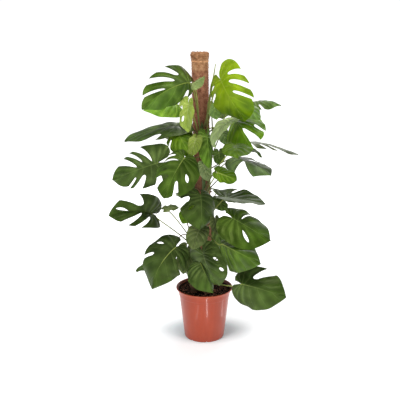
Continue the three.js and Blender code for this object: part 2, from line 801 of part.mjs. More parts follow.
// The flat blade at share t of the way from the midrib to the margin along the vein line.
function flatPoint(midrib, along, t) {
  const [endAlong, endOut] = marginPoint(along);
  const sweepBack = VEIN_SWEEP * Math.sin(Math.PI * along);
  const bendAlong = (midrib + endAlong) / 2 - sweepBack;
  const bendOut = endOut / 2 + sweepBack * 0.4;
  return {
    u: (1 - t) ** 2 * midrib + 2 * t * (1 - t) * bendAlong + t ** 2 * endAlong,
    v: 2 * t * (1 - t) * bendOut + t ** 2 * endOut,
  };
}

function leafFrame(leaf) {
  const joint = new THREE.Vector3(...leaf.joint);
  const chord = new THREE.Vector3(...leaf.tip).sub(joint);
  const span = chord.length();
  chord.normalize();
  const normal = new THREE.Vector3(...leaf.faces);
  normal.addScaledVector(chord, -normal.dot(chord)).normalize();
  const side = normal.clone().cross(chord);
  const arc = radians(leaf.bend);
  const radius = span / (2 * Math.sin(arc / 2));
  return { joint, chord, normal, side, span, arc, radius, length: radius * arc };
}

// Where a point of the flat blade lies on the bent leaf; half is 0 for the left, 1 for the right.
function bentPoint(leaf, frame, half, { u, v }) {
  const angle = frame.arc * (u - 0.5);
  const along = frame.span / 2 + frame.radius * Math.sin(angle);
  const lift = frame.radius * (Math.cos(angle) - Math.cos(frame.arc / 2));
  const upward = frame.normal.clone().multiplyScalar(Math.cos(angle))
    .addScaledVector(frame.chord, Math.sin(angle));
  const fullWidth = HALF_WIDTH * frame.length * leaf.width;
  const fold = radians(leaf.fold[half]);
  const curl = radians(leaf.curl[half]);
  const out = (v * frame.length * leaf.width) / fullWidth;
  const across = (fullWidth / curl) * (Math.sin(fold + curl * out) - Math.sin(fold));
  const rise = (fullWidth / curl) * (Math.cos(fold) - Math.cos(fold + curl * out));
  return frame.joint.clone()
    .addScaledVector(frame.chord, along)
    .addScaledVector(frame.normal, lift)
    .addScaledVector(frame.side, half === 0 ? across : -across)
    .addScaledVector(upward, rise);
}

// Rows from midrib to margin, moved so that rows lie at a gap's root and end.
function gapRows(gap, rows) {
  const even = Array.from({ length: rows + 1 }, (_, i) => i / rows);
  if (!gap || gap.width === 0) {
    return { shares: even, open: even.map(() => 0) };
  }
  const closed = gap.end < 1;
  const rootRow = Math.min(Math.max(Math.round(gap.root * rows), 1), closed ? rows - 3 : rows - 1);
  const endRow = closed ? Math.min(Math.max(Math.round(gap.end * rows), rootRow + 2), rows - 1) : rows;
  const shares = even.map((_, i) => {
    if (i <= rootRow) {
      return (gap.root * i) / rootRow;
    }
    if (i <= endRow) {
      return gap.root + ((gap.end - gap.root) * (i - rootRow)) / (endRow - rootRow);
    }
    return gap.end + ((1 - gap.end) * (i - endRow)) / (rows - endRow);
  });
  const open = even.map((_, i) => {
    if (i <= rootRow || (closed && i >= endRow)) {
      return 0;
    }
    const share = (i - rootRow) / (endRow - rootRow);
    return gap.width * (closed ? Math.sin(Math.PI * share) : 1 + (gap.mouth - 1) * share);
  });
  return { shares, open };
}

// How far the fingers' corners beside the open slits draw back from the margin. A finger is round
// where it begins and pointed where it ends.
function fingerPull(gaps, along, t) {
  return gaps.filter((gap) => gap.width > 0 && gap.end === 1).reduce((pull, gap) => {
    const near = Math.max(0, 1 - Math.abs(along - gap.along) / FINGER_CORNER);
    const out = Math.max(0, (t - gap.root) / (1 - gap.root));
    const rounding = along > gap.along ? FINGER_ROUNDING : FINGER_POINT_ROUNDING;
    return pull + rounding * near ** 2 * out ** 3;
  }, 0);
}

// The blade's middle surface: points and triangles, seen from above.
function bladeSurface(leaf, frame, rows, cells) {
  const points = [];
  const triangles = [];
  const add = (point) => points.push(point) - 1;
  const strips = leaf.cuts[0].length + 1;
  const lines = strips * cells;
  const lineAlong = (gaps, number) => {
    const place = number / cells;
    const stops = [0, ...gaps.map((gap) => gap.along), 1];
    const strip = Math.min(Math.floor(place), strips - 1);
    return stops[strip] + (stops[strip + 1] - stops[strip]) * (place - strip);
  };
  const midrib = Array.from({ length: lines + 1 }, (_, i) => midribPoint(
    (lineAlong(leaf.cuts[0], i) + lineAlong(leaf.cuts[1], i)) / 2,
  ));
  const root = midrib.map((u) => add(bentPoint(leaf, frame, 0, { u, v: 0 })));
  let tipLine = null;
  leaf.cuts.forEach((gaps, half) => {
    let previous = null;
    for (let strip = 0; strip < strips; strip += 1) {
      const before = gapRows(gaps[strip - 1], rows);
      const after = gapRows(gaps[strip], rows);
      const start = strip === 0 ? 0 : gaps[strip - 1].along;
      const end = strip === strips - 1 ? 1 : gaps[strip].along;
      for (let j = strip === 0 ? 0 : 1; j <= cells; j += 1) {
        const number = strip * cells + j;
        const share = j / cells;
        if (strip > 0 && j === 1) {
          const edge = (i) => bladePoint(
            leaf, frame, half, midrib[number - 1], gaps, start + before.open[i], before.shares[i],
          );
          previous = previous.map((index, i) => (before.open[i] === 0 ? index : add(edge(i))));
        }
        const atTip = strip === strips - 1 && j === cells;
        const line = [root[number]];
        for (let i = 1; i <= rows; i += 1) {
          if (atTip && tipLine) {
            line.push(tipLine[i]);
          } else {
            const t = before.shares[i] * (1 - share) + after.shares[i] * share;
            const along = (start + before.open[i]) * (1 - share) + (end - after.open[i]) * share;
            line.push(add(bladePoint(leaf, frame, half, midrib[number], gaps, along, t)));
          }
        }
        if (atTip) {
          tipLine = line;
        }
        if (previous) {
          for (let i = 0; i < rows; i += 1) {
            const quad = [previous[i], line[i], line[i + 1], previous[i + 1]];
            const [a, b, c, d] = half === 0 ? quad : [quad[0], quad[3], quad[2], quad[1]];
            triangles.push([a, b, c], [a, c, d]);
          }
        }
        previous = line;
      }
    }
  });
  return { points, triangles };
}

function bladePoint(leaf, frame, half, midrib, gaps, along, t) {
  const drawn = t - fingerPull(gaps, along, t);
  return bentPoint(leaf, frame, half, flatPoint(midrib, along, drawn));
}

// Gives a surface its thickness, with the same triangles on both faces and a wall round each edge.
function thicken({ points, triangles }, thickness) {
  const normals = points.map(() => new THREE.Vector3());
  triangles.forEach(([a, b, c]) => {
    const normal = points[b].clone().sub(points[a]).cross(points[c].clone().sub(points[a]));
    [a, b, c].forEach((i) => normals[i].add(normal));
  });
  normals.forEach((normal) => normal.normalize());
  const shift = (sign) => points.map(
    (point, i) => point.clone().addScaledVector(normals[i], (sign * thickness) / 2),
  );
  const count = points.length;
  const faces = triangles.concat(triangles.map(([a, b, c]) => [a + count, c + count, b + count]));
  const edges = new Set(triangles.flatMap(([a, b, c]) => [`${a},${b}`, `${b},${c}`, `${c},${a}`]));
  edges.forEach((edge) => {
    const [a, b] = edge.split(',').map(Number);
    if (!edges.has(`${b},${a}`)) {
      faces.push([b, a, a + count], [b, a + count, b + count]);
    }
  });
  return solidFromTriangles(shift(1).concat(shift(-1)), faces);
}

// The petiole climbs from its stem and meets the blade from below at a knuckle.
function petioleCentres(leaf, frame) {
  const start = stemCentre(STEMS[leaf.stem], leaf.from);
  const end = frame.joint.clone().addScaledVector(frame.chord, KNUCKLE_RADIUS);
  const outward = end.clone().sub(start).setZ(0).normalize();
  const reach = end.distanceTo(start);
  const leaving = outward.clone().addScaledVector(UP, leaf.leave ?? LEAVE_SLOPE).normalize();
  const arriving = outward.clone().addScaledVector(UP, leaf.lift ?? ARRIVE_SLOPE).normalize();
  const hold = reach * (leaf.hold ?? CURVE_HOLD);
  const curve = new THREE.CubicBezierCurve3(
    start,
    start.clone().addScaledVector(leaving, hold),
    end.clone().addScaledVector(arriving, -hold),
    end,
  );
  return curve.getPoints(PETIOLE_STEPS);
}

function buildLeaf(leaf) {
  const frame = leafFrame(leaf);
  const rows = leaf.cuts.flat().some((gap) => gap.end < 1) ? 4 : 3;
  const blade = thicken(bladeSurface(leaf, frame, rows, 2), BLADE_THICKNESS);
  const centres = petioleCentres(leaf, frame);
  const last = centres.length - 1;
  const radii = centres.map((_, i) => {
    if (i < 2) {
      return SHEATH_RADIUS - (i * (SHEATH_RADIUS - PETIOLE_RADIUS)) / 2;
    }
    return i < last ? PETIOLE_RADIUS : KNUCKLE_RADIUS;
  });
  const petiole = sweep(centres, radii, PETIOLE_SIDES);
  return blade.add(petiole).subtract(buildStem(STEMS[leaf.stem], GAP));
}

// The whole plant

function finish(color, roughness) {
  return new THREE.MeshStandardMaterial({ color, roughness, metalness: 0 });
}

const plant = new THREE.Group();
plant.add(meshFromSolid('pot', buildPot(), finish(0xb4553f, 0.4)));
plant.add(meshFromSolid('soil', buildSoil(), finish(0x2c211b, 0.95)));
plant.add(meshFromSolid('pole_stake', buildStake(0), finish(0x8a6a42, 0.8)));
plant.add(meshFromSolid('pole_coir', buildCoir(), finish(0x9a5a32, 0.95)));
Object.values(STEMS).forEach((stem) => {
  plant.add(meshFromSolid(stem.name, buildStem(stem, 0), finish(0x5d6b34, 0.6)));
});
LEAVES.forEach((leaf) => {
  plant.add(meshFromSolid(leaf.name, buildLeaf(leaf), finish(TONES[leaf.tone], 0.35)));
});

export default plant;
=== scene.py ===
"""Looks of a swiss cheese plant that climbs a coir pole in a plastic nursery pot.

Sizes are in millimetres, as on a grower's drawing, until they become points of a mesh, which
are in metres. The front of the plant is towards -Y and the pot stands on the floor at Z = 0.
"""

import logging
import math
from dataclasses import dataclass, field
from enum import Enum, IntEnum
from typing import Any, Callable, Sequence

import bpy
import numpy as np
from mathutils import Matrix, Vector


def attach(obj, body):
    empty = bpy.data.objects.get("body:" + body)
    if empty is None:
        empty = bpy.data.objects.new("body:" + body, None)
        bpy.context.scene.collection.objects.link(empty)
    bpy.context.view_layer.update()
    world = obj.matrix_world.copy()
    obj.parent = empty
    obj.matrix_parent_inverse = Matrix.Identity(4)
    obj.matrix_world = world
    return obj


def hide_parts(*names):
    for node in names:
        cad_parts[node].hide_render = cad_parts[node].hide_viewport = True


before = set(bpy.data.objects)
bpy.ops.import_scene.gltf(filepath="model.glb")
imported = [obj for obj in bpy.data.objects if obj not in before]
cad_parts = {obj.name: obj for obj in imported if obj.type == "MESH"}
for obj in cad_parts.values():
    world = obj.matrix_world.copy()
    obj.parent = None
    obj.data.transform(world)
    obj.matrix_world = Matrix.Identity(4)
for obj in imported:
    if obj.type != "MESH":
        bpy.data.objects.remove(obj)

LOG = logging.getLogger("plant")
MM = 0.001
BODY = "root"
UV_NAME = "Surface"
SMOOTH_LIMIT = math.radians(50)
SOIL_LEVEL = 206.0

Point = tuple[float, float, float]
Colour = tuple[float, float, float]
Pair = tuple[float, float]
Stops = Sequence[tuple[float, Colour]]


# Node trees


def operator(operation: str, swapped: bool = False) -> Callable[..., "Sock"]:
    """Makes one of Sock's operators, which adds a Math node.

    Args:
        operation: the Math node's operation.
        swapped: whether the Sock is the value on the right.

    Returns:
        The method.
    """

    def method(sock: "Sock", *others: Any) -> "Sock":
        """Adds the node and gives its result."""
        values = (*others, sock) if swapped else (sock, *others)
        return sock.nodes.make("ShaderNodeMath", dict(enumerate(values)), operation=operation)

    return method


class Sock:
    """A number or colour on its way through a node tree; operators add Math nodes to it."""

    __add__ = operator("ADD")
    __radd__ = operator("ADD", swapped=True)
    __sub__ = operator("SUBTRACT")
    __rsub__ = operator("SUBTRACT", swapped=True)
    __mul__ = operator("MULTIPLY")
    __rmul__ = operator("MULTIPLY", swapped=True)
    __truediv__ = operator("DIVIDE")
    __abs__ = operator("ABSOLUTE")
    part = operator("FRACT")

    def __init__(self, nodes: "NodeTree", socket: bpy.types.NodeSocket) -> None:
        """Wraps one output socket of a tree."""
        self.nodes = nodes
        self.socket = socket

    def ease(self, low: float, high: float, start: float = 0.0, stop: float = 1.0) -> "Sock":
        """Maps low..high to start..stop with soft ends, and holds it there outside.

        Args:
            low: the value that gives start.
            high: the value that gives stop.
            start: the result at low.
            stop: the result at high.

        Returns:
            The mapped value.
        """
        values = {0: self, 1: low, 2: high, 3: start, 4: stop}
        return self.nodes.make("ShaderNodeMapRange", values, interpolation_type="SMOOTHSTEP")


class NodeTree:
    """A shader or geometry node tree in the making."""

    def __init__(self, tree: bpy.types.NodeTree) -> None:
        """Takes the tree that the nodes go into, and empties it."""
        self.tree = tree
        self.tree.nodes.clear()

    def add(self, kind: str, values: dict[Any, Any] | None = None, **settings: Any) -> bpy.types.Node:
        """Adds one node, sets it up, and fills its sockets.

        Args:
            kind: the node's type.
            values: a number, colour or Sock for each named or numbered input.
            settings: its properties; "stops" holds a colour ramp's places and colours.

        Returns:
            The new node.
        """
        node = self.tree.nodes.new(kind)
        for key, value in settings.items():
            if key == "stops":
                self._set_stops(node.color_ramp, value)
            else:
                setattr(node, key, value)
        for key, value in (values or {}).items():
            if isinstance(value, Sock):
                self.tree.links.new(value.socket, node.inputs[key])
            else:
                node.inputs[key].default_value = value
        return node

    def out(self, node: bpy.types.Node, which: int | str = 0) -> Sock:
        """Wraps a node's output."""
        return Sock(self, node.outputs[which])

    def make(
        self, kind: str, values: dict[Any, Any] | None = None, which: int | str = 0, **settings: Any
    ) -> Sock:
        """Adds one node as add does and gives one of its outputs."""
        return self.out(self.add(kind, values, **settings), which)

    @staticmethod
    def _set_stops(ramp: bpy.types.ColorRamp, stops: Stops) -> None:
        """Gives a colour ramp its stops.

        Args:
            ramp: the ramp.
            stops: each stop's place, from 0 to 1, and its colour.
        """
        while len(ramp.elements) < len(stops):
            ramp.elements.new(1.0)
        for element, (place, colour) in zip(ramp.elements, stops):
            element.position = place
            element.color = (*colour, 1.0)


class Finish(NodeTree):
    """One material, from its colours and relief to the Principled shader."""

    def __init__(self, name: str) -> None:
        """Starts an empty material of that name.

        Args:
            name: the material's name.
        """
        self.material = bpy.data.materials.new(name)
        self.material.use_nodes = True
        super().__init__(self.material.node_tree)

    def place(self, stretch: Point = (1.0, 1.0, 1.0)) -> Sock:
        """Gives the piece's own coordinates in metres, stretched by a factor along each axis."""
        coords = self.make("ShaderNodeTexCoord", which="Object")
        return self.make("ShaderNodeMapping", {"Vector": coords, "Scale": stretch})

    def surface(self) -> Sock:
        """Gives the piece's own UV map, which is in metres."""
        return self.make("ShaderNodeUVMap", uv_map=UV_NAME)

    def height(self, place: Sock) -> Sock:
        """Gives the height of a place in metres."""
        return self.make("ShaderNodeSeparateXYZ", {0: place}, "Z")

    def length(self, vector: Sock) -> Sock:
        """Gives the length of a vector."""
        return self.make("ShaderNodeVectorMath", {0: vector}, "Value", operation="LENGTH")

    def value(self, name: str) -> Sock:
        """Reads one of the mesh's own values."""
        return self.make("ShaderNodeAttribute", which="Fac", attribute_name=name)

    def noise(self, place: Sock, scale: float, detail: float = 3.0, rough: float = 0.5) -> Sock:
        """Adds a noise pattern, from 0 to 1, with that many lumps a metre."""
        values = {"Vector": place, "Scale": scale, "Detail": detail, "Roughness": rough}
        return self.make("ShaderNodeTexNoise", values)

    def ramp(self, value: Sock, stops: Stops) -> Sock:
        """Turns a value into a colour along a ramp."""
        return self.make("ShaderNodeValToRGB", {0: value}, stops=stops)

    def mix(self, first: Any, second: Any, share: Any) -> Sock:
        """Mixes two colours.

        Args:
            first: a colour or Sock, shown where share is 0.
            second: a colour or Sock, shown where share is 1.
            share: a number or Sock.

        Returns:
            The mixed colour.
        """
        low, high = [(*c, 1.0) if isinstance(c, tuple) else c for c in (first, second)]
        values = {0: share, 6: low, 7: high}
        return self.make(
            "ShaderNodeMix", values, 2, data_type="RGBA", blend_type="MIX", clamp_factor=True
        )

    def scaled(self, colour: Sock, factor: Any) -> Sock:
        """A colour made lighter or darker by a factor."""
        return self.make("ShaderNodeVectorMath", {0: colour, 3: factor}, operation="SCALE")

    def bump(self, height: Sock, depth: float, strength: float = 1.0) -> Sock:
        """Turns a height from 0 to 1 into a bumped normal, depth being in metres."""
        values = {"Strength": strength, "Distance": depth, "Height": height}
        return self.make("ShaderNodeBump", values)

    def close(self, **sockets: Any) -> bpy.types.Material:
        """Adds the Principled shader and the output.

        Args:
            sockets: the shader's inputs, with _ for each space in a name.

        Returns:
            The finished material.
        """
        values = {key.replace("_", " "): value for key, value in sockets.items()}
        for key, value in values.items():
            if isinstance(value, tuple) and ("Color" in key or "Tint" in key):
                values[key] = (*value, 1.0)
        shader = self.make("ShaderNodeBsdfPrincipled", values)
        self.add("ShaderNodeOutputMaterial", {"Surface": shader})
        return self.material


class Growth(NodeTree):
    """A Geometry Nodes tree with named inputs that ends in real geometry with a material."""

    def __init__(self, name: str) -> None:
        """Starts a tree with a geometry input and output.

        Args:
            name: the tree's name.
        """
        super().__init__(bpy.data.node_groups.new(name, "GeometryNodeTree"))
        self.names: dict[str, str] = {}
        for way in ("INPUT", "OUTPUT"):
            self.tree.interface.new_socket("Geometry", in_out=way, socket_type="NodeSocketGeometry")
        self.entry = self.add("NodeGroupInput")

    def size(self, name: str, kind: str = "Float") -> Sock:
        """Adds a named input and gives its value inside the tree.

        Args:
            name: the input's name.
            kind: what it takes, as in the socket types' names.

        Returns:
            Its value inside the tree.
        """
        made = self.tree.interface.new_socket(name, in_out="INPUT", socket_type=f"NodeSocket{kind}")
        self.names[name] = made.identifier
        return Sock(self, next(s for s in self.entry.outputs if s.identifier == made.identifier))

    def sizes(self, *names: str) -> list[Sock]:
        """Adds several named numbers."""
        return [self.size(name) for name in names]

    def random(self, low: Any, high: Any, seed: int) -> Sock:
        """Adds a random value for each point.

        Args:
            low: the lower limit, a number or one for each axis.
            high: the upper limit, likewise.
            seed: the fixed seed.

        Returns:
            The value.
        """
        vector = isinstance(low, tuple)
        kind, first, which = ("FLOAT_VECTOR", 0, 0) if vector else ("FLOAT", 2, 1)
        values = {first: low, first + 1: high, 8: seed}
        return self.make("FunctionNodeRandomValue", values, which, data_type=kind)

    def cord(self, line: Sock, sides: int, radius: Sock) -> Sock:
        """Makes a line round.

        Args:
            line: the curve.
            sides: the points round it.
            radius: its radius in metres.

        Returns:
            The solid cord.
        """
        ring = self.make("GeometryNodeCurvePrimitiveCircle", {"Resolution": sides, "Radius": radius})
        values = {"Curve": line, "Profile Curve": ring, "Fill Caps": True}
        return self.make("GeometryNodeCurveToMesh", values)

    def scatter(
        self, shape: Sock, density: Sock, seed: Any, turn: Sock, scale: Sock, stands: bool
    ) -> Sock:
        """Puts a shape on random spots of the mesh that the tree is put on.

        Args:
            shape: what is put there.
            density: how many lie on a square metre.
            seed: for the choice of spots.
            turn: each one's angles.
            scale: each one's size.
            stands: whether they stand on the surface, not on the floor's plane.

        Returns:
            The instances.
        """
        values = {"Mesh": Sock(self, self.entry.outputs[0]), "Density": density, "Seed": seed}
        spots = self.add("GeometryNodeDistributePointsOnFaces", values, distribute_method="RANDOM")
        rotation = self.make("FunctionNodeEulerToRotation", {0: turn})
        if stands:
            values = {0: self.out(spots, "Rotation"), 1: rotation}
            rotation = self.make("FunctionNodeRotateRotation", values, rotation_space="LOCAL")
        points = self.out(spots, "Points")
        values = {"Points": points, "Instance": shape, "Rotation": rotation, "Scale": scale}
        return self.make("GeometryNodeInstanceOnPoints", values)

    def close(self, geometry: Sock) -> None:
        """Ends the tree: instances become real, and the material is set.

        Args:
            geometry: what has grown.
        """
        finish = self.size("Finish", "Material")
        real = self.make("GeometryNodeRealizeInstances", {"Geometry": geometry})
        done = self.make("GeometryNodeSetMaterial", {"Geometry": real, "Material": finish})
        self.add("NodeGroupOutput", {0: done})

    def grow(self, name: str, host: bpy.types.Mesh, sizes: dict[str, Any]) -> bpy.types.Object:
        """Runs the tree on a mesh and keeps the result as a plain mesh.

        Args:
            name: the new piece's name.
            host: the mesh that the tree is put on.
            sizes: a value for each named input.

        Returns:
            The new object.
        """
        holder = link(bpy.data.objects.new(name, host))
        modifier = holder.modifiers.new("growth", "NODES")
        modifier.node_group = self.tree
        for key, value in sizes.items():
            modifier[self.names[key]] = value
        graph = bpy.context.evaluated_depsgraph_get()
        graph.update()
        mesh = bpy.data.meshes.new_from_object(holder.evaluated_get(graph), depsgraph=graph)
        holder.modifiers.remove(modifier)
        holder.data = mesh
        mesh.name = name
        return holder


# Meshes


@dataclass
class Shape:
    """Points in millimetres, faces, and a value for each point, before they become a mesh."""

    points: np.ndarray
    faces: list[tuple[int, ...]]
    values: dict[str, np.ndarray] = field(default_factory=dict)
    finish: int = 0


def link(thing: bpy.types.Object) -> bpy.types.Object:
    """Puts an object into the scene."""
    bpy.context.scene.collection.objects.link(thing)
    return thing


def to_mesh(name: str, shapes: Sequence[Shape], finishes: Sequence[bpy.types.Material]) -> bpy.types.Mesh:
    """Joins shapes into one smooth mesh.

    Args:
        name: the mesh's name.
        shapes: what to join. The values "u" and "v", in metres, become the UV map.
        finishes: the materials that the shapes number.

    Returns:
        The mesh, in metres.
    """
    mesh = bpy.data.meshes.new(name)
    counts = np.cumsum([0] + [len(shape.points) for shape in shapes])
    points = np.concatenate([shape.points for shape in shapes]) * MM
    faces = [
        tuple(int(i) + int(start) for i in face)
        for shape, start in zip(shapes, counts)
        for face in shape.faces
    ]
    mesh.from_pydata(points.tolist(), [], faces)
    for finish in finishes:
        mesh.materials.append(finish)
    numbers = np.concatenate([np.full(len(s.faces), s.finish, np.int32) for s in shapes])
    mesh.polygons.foreach_set("material_index", numbers)
    columns = {
        key: np.concatenate([s.values.get(key, np.zeros(len(s.points))) for s in shapes])
        for key in sorted({key for shape in shapes for key in shape.values})
    }
    if "u" in columns:
        corners = np.zeros(len(mesh.loops), np.int32)
        mesh.loops.foreach_get("vertex_index", corners)
        pairs = np.stack([columns.pop("u")[corners], columns.pop("v")[corners]], axis=1)
        layer = mesh.uv_layers.new(name=UV_NAME)
        layer.data.foreach_set("uv", pairs.astype(np.float32).ravel())
    for key, column in columns.items():
        mesh.attributes.new(key, "FLOAT", "POINT").data.foreach_set("value", column.astype(np.float32))
    mesh.shade_smooth()
    mesh.set_sharp_from_angle(angle=SMOOTH_LIMIT)
    mesh.update()
    return mesh


def dress(piece: bpy.types.Object, slot: str, *nodes: str) -> None:
    """Fastens a finished piece to the plant.

    Args:
        piece: the object, in place.
        slot: the record's material slot; it is not used.
        nodes: the CAD nodes that the piece stands for.
    """
    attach(piece, BODY)
    if nodes:
        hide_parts(*nodes)
    LOG.info("%s: %d faces", piece.name, len(piece.data.polygons))


def set_up(
    name: str, shapes: Sequence[Shape], finishes: Sequence[bpy.types.Material], slot: str, *nodes: str
) -> None:
    """Joins shapes into a piece of that name, and dresses it."""
    dress(link(bpy.data.objects.new(name, to_mesh(name, shapes, finishes))), slot, *nodes)


def even_turns(sides: int) -> np.ndarray:
    """Evenly spaced angles once round."""
    return 2 * np.pi * np.arange(sides) / sides


def ring(turns: np.ndarray, radius: Any = 1.0, height: Any = 0.0) -> np.ndarray:
    """Points round the upright axis.

    Args:
        turns: their angles.
        radius: how far out they are, one number or one for each.
        height: how high they are, likewise.

    Returns:
        The points.
    """
    flat = radius * np.cos(turns), radius * np.sin(turns)
    return np.stack(np.broadcast_arrays(*flat, height), axis=-1)


def ring_faces(rings: int, sides: int, closed: bool = True) -> list[tuple[int, ...]]:
    """Faces between rings of points, each ring anticlockwise seen against its line.

    Args:
        rings: how many rings there are.
        sides: the points in each ring.
        closed: whether the first and last rings are filled.

    Returns:
        The faces.
    """
    faces: list[tuple[int, ...]] = []
    for start in range(0, (rings - 1) * sides, sides):
        for side in range(sides):
            a, b = start + side, start + (side + 1) % sides
            faces.append((a, b, b + sides, a + sides))
    if closed:
        faces.append(tuple(reversed(range(sides))))
        faces.append(tuple(range((rings - 1) * sides, rings * sides)))
    return faces


def open_skin(name: str, rings: Sequence[np.ndarray]) -> bpy.types.Mesh:
    """A mesh through rings of points, for Geometry Nodes to grow things on."""
    return to_mesh(name, [Shape(np.concatenate(rings), ring_faces(len(rings), len(rings[0]), False))], [])


def unit(vector: np.ndarray) -> np.ndarray:
    """A vector made one long."""
    return vector / np.linalg.norm(vector)


def bell(share: np.ndarray, middle: float, width: float) -> np.ndarray:
    """A bump of height 1 round a place, and 0 well away from it."""
    return np.exp(-(((share - middle) / width) ** 2))


def tube(centres: np.ndarray, radii: np.ndarray, sides: int, finish: int = 0) -> Shape:
    """A round solid along a line, its frame turning as little as it can.

    Args:
        centres: the line's points.
        radii: a radius for each.
        sides: the points round each.
        finish: the number of its material.

    Returns:
        The shape, with the value "along" from 0 to 1.
    """
    lines = np.vstack([centres[1:], centres[-1:]]) - np.vstack([centres[:1], centres[:-1]])
    lines /= np.linalg.norm(lines, axis=1)[:, None]
    turns = even_turns(sides)
    across = np.array([1.0, 0.3, 0.2])
    rings = []
    for centre, radius, line in zip(centres, radii, lines):
        across = unit(across - line * (across @ line))
        third = np.cross(line, across)
        round_it = np.outer(np.cos(turns), across) + np.outer(np.sin(turns), third)
        rings.append(centre + radius * round_it)
    steps = np.linalg.norm(np.diff(centres, axis=0), axis=1)
    lengths = np.concatenate([[0.0], np.cumsum(steps)])
    values = {"along": np.repeat(lengths / lengths[-1], sides)}
    return Shape(np.vstack(rings), ring_faces(len(centres), sides), values, finish)


def bezier(corners: Sequence[Any], steps: int) -> np.ndarray:
    """Points of a cubic curve.

    Args:
        corners: its start, the two points that guide it, and its end.
        steps: how many spans it gets.

    Returns:
        One point more than there are steps.
    """
    t = np.linspace(0, 1, steps + 1)[:, None]
    a, b, c, d = (np.array(corner, float) for corner in corners)
    return (1 - t) ** 3 * a + 3 * (1 - t) ** 2 * t * b + 3 * (1 - t) * t**2 * c + t**3 * d


# The leaves


class Tone(Enum):
    """How a leaf is coloured, named as its material slot."""

    LIME = "leaf_lime"
    BRIGHT = "leaf_bright"
    MID = "leaf_mid"
    DARK = "leaf_dark"
    GREY = "leaf_grey"
    PALE = "leaf_pale"


class Cane(Enum):
    """One of the three climbing stems, named as its CAD node."""

    FRONT = "stem_front"
    LEFT = "stem_left"
    BACK = "stem_back"


LIME, BRIGHT, MID, DARK, GREY, PALE = Tone
FRONT, LEFT, BACK = Cane


@dataclass(frozen=True)
class Gap:
    """An opening in a blade along a vein line.

    Attributes:
        along: its place on the margin, from sinus 0 to tip 1.
        root: where it starts, as a share of the way from the midrib to the margin.
        end: where it ends; 1 is an open slit.
        width: how far each side stands back; 0 is uncut.
        mouth: how much wider a slit is at the margin than at its root.
    """

    along: float
    root: float = 1.0
    end: float = 1.0
    width: float = 0.0
    mouth: float = 1.2


Cuts = tuple[Gap, ...]


def uncut(along: float) -> Gap:
    """A vein line where the blade stays whole."""
    return Gap(along)


def slit(along: float, root: float, width: float, mouth: float = 1.2) -> Gap:
    """An opening from root to the margin."""
    return Gap(along, root, 1.0, width, mouth)


def hole(along: float, root: float, end: float, width: float) -> Gap:
    """A closed opening from root to end."""
    return Gap(along, root, end, width)


ENTIRE: Cuts = (uncut(0.5),)
NICK: Cuts = (slit(0.6, 0.45, 0.022),)
TWO: Cuts = (slit(0.5, 0.34, 0.026), slit(0.7, 0.36, 0.024))
THREE: Cuts = (slit(0.42, 0.34, 0.024), slit(0.58, 0.3, 0.028), slit(0.74, 0.34, 0.024))
THREE_HOLED: Cuts = (hole(0.4, 0.25, 0.75, 0.028), slit(0.57, 0.3, 0.028), slit(0.74, 0.34, 0.024))


@dataclass(frozen=True)
class Leaf:
    """One leaf: where it grows, how its blade hangs, and its cuts.

    Attributes:
        name: the CAD node that it stands for.
        joint: where petiole and blade meet.
        tip: the blade's point.
        faces: where its upper side looks.
        width: its width as a share of the length.
        bend: the midrib's arc in degrees.
        fold: how far the left and right halves are raised, in degrees.
        curl: how far each half bends on its way out, in degrees.
        stem: the stem that it grows from.
        height: where its petiole leaves the stem.
        tone: its colour.
        cuts: the left and right halves' openings, equal in number.
        light: how much paler or darker each half is than others of its tone, partly its own tone and partly
            painted light where that leaf or half is lit more.
        relief: its own share of the quilting.
        leave: the rise of the petiole where it starts.
        lift: its rise where it ends.
        hold: how long it keeps to those two directions.
    """

    name: str
    joint: Point
    tip: Point
    faces: Point
    width: float
    bend: float
    fold: Pair
    curl: Pair
    stem: Cane
    height: float
    tone: Tone
    cuts: tuple[Cuts, Cuts] = (ENTIRE, ENTIRE)
    light: Pair = (1.0, 1.0)
    relief: float = 1.0
    leave: float = 1.4
    lift: float = 0.9
    hold: float = 0.3


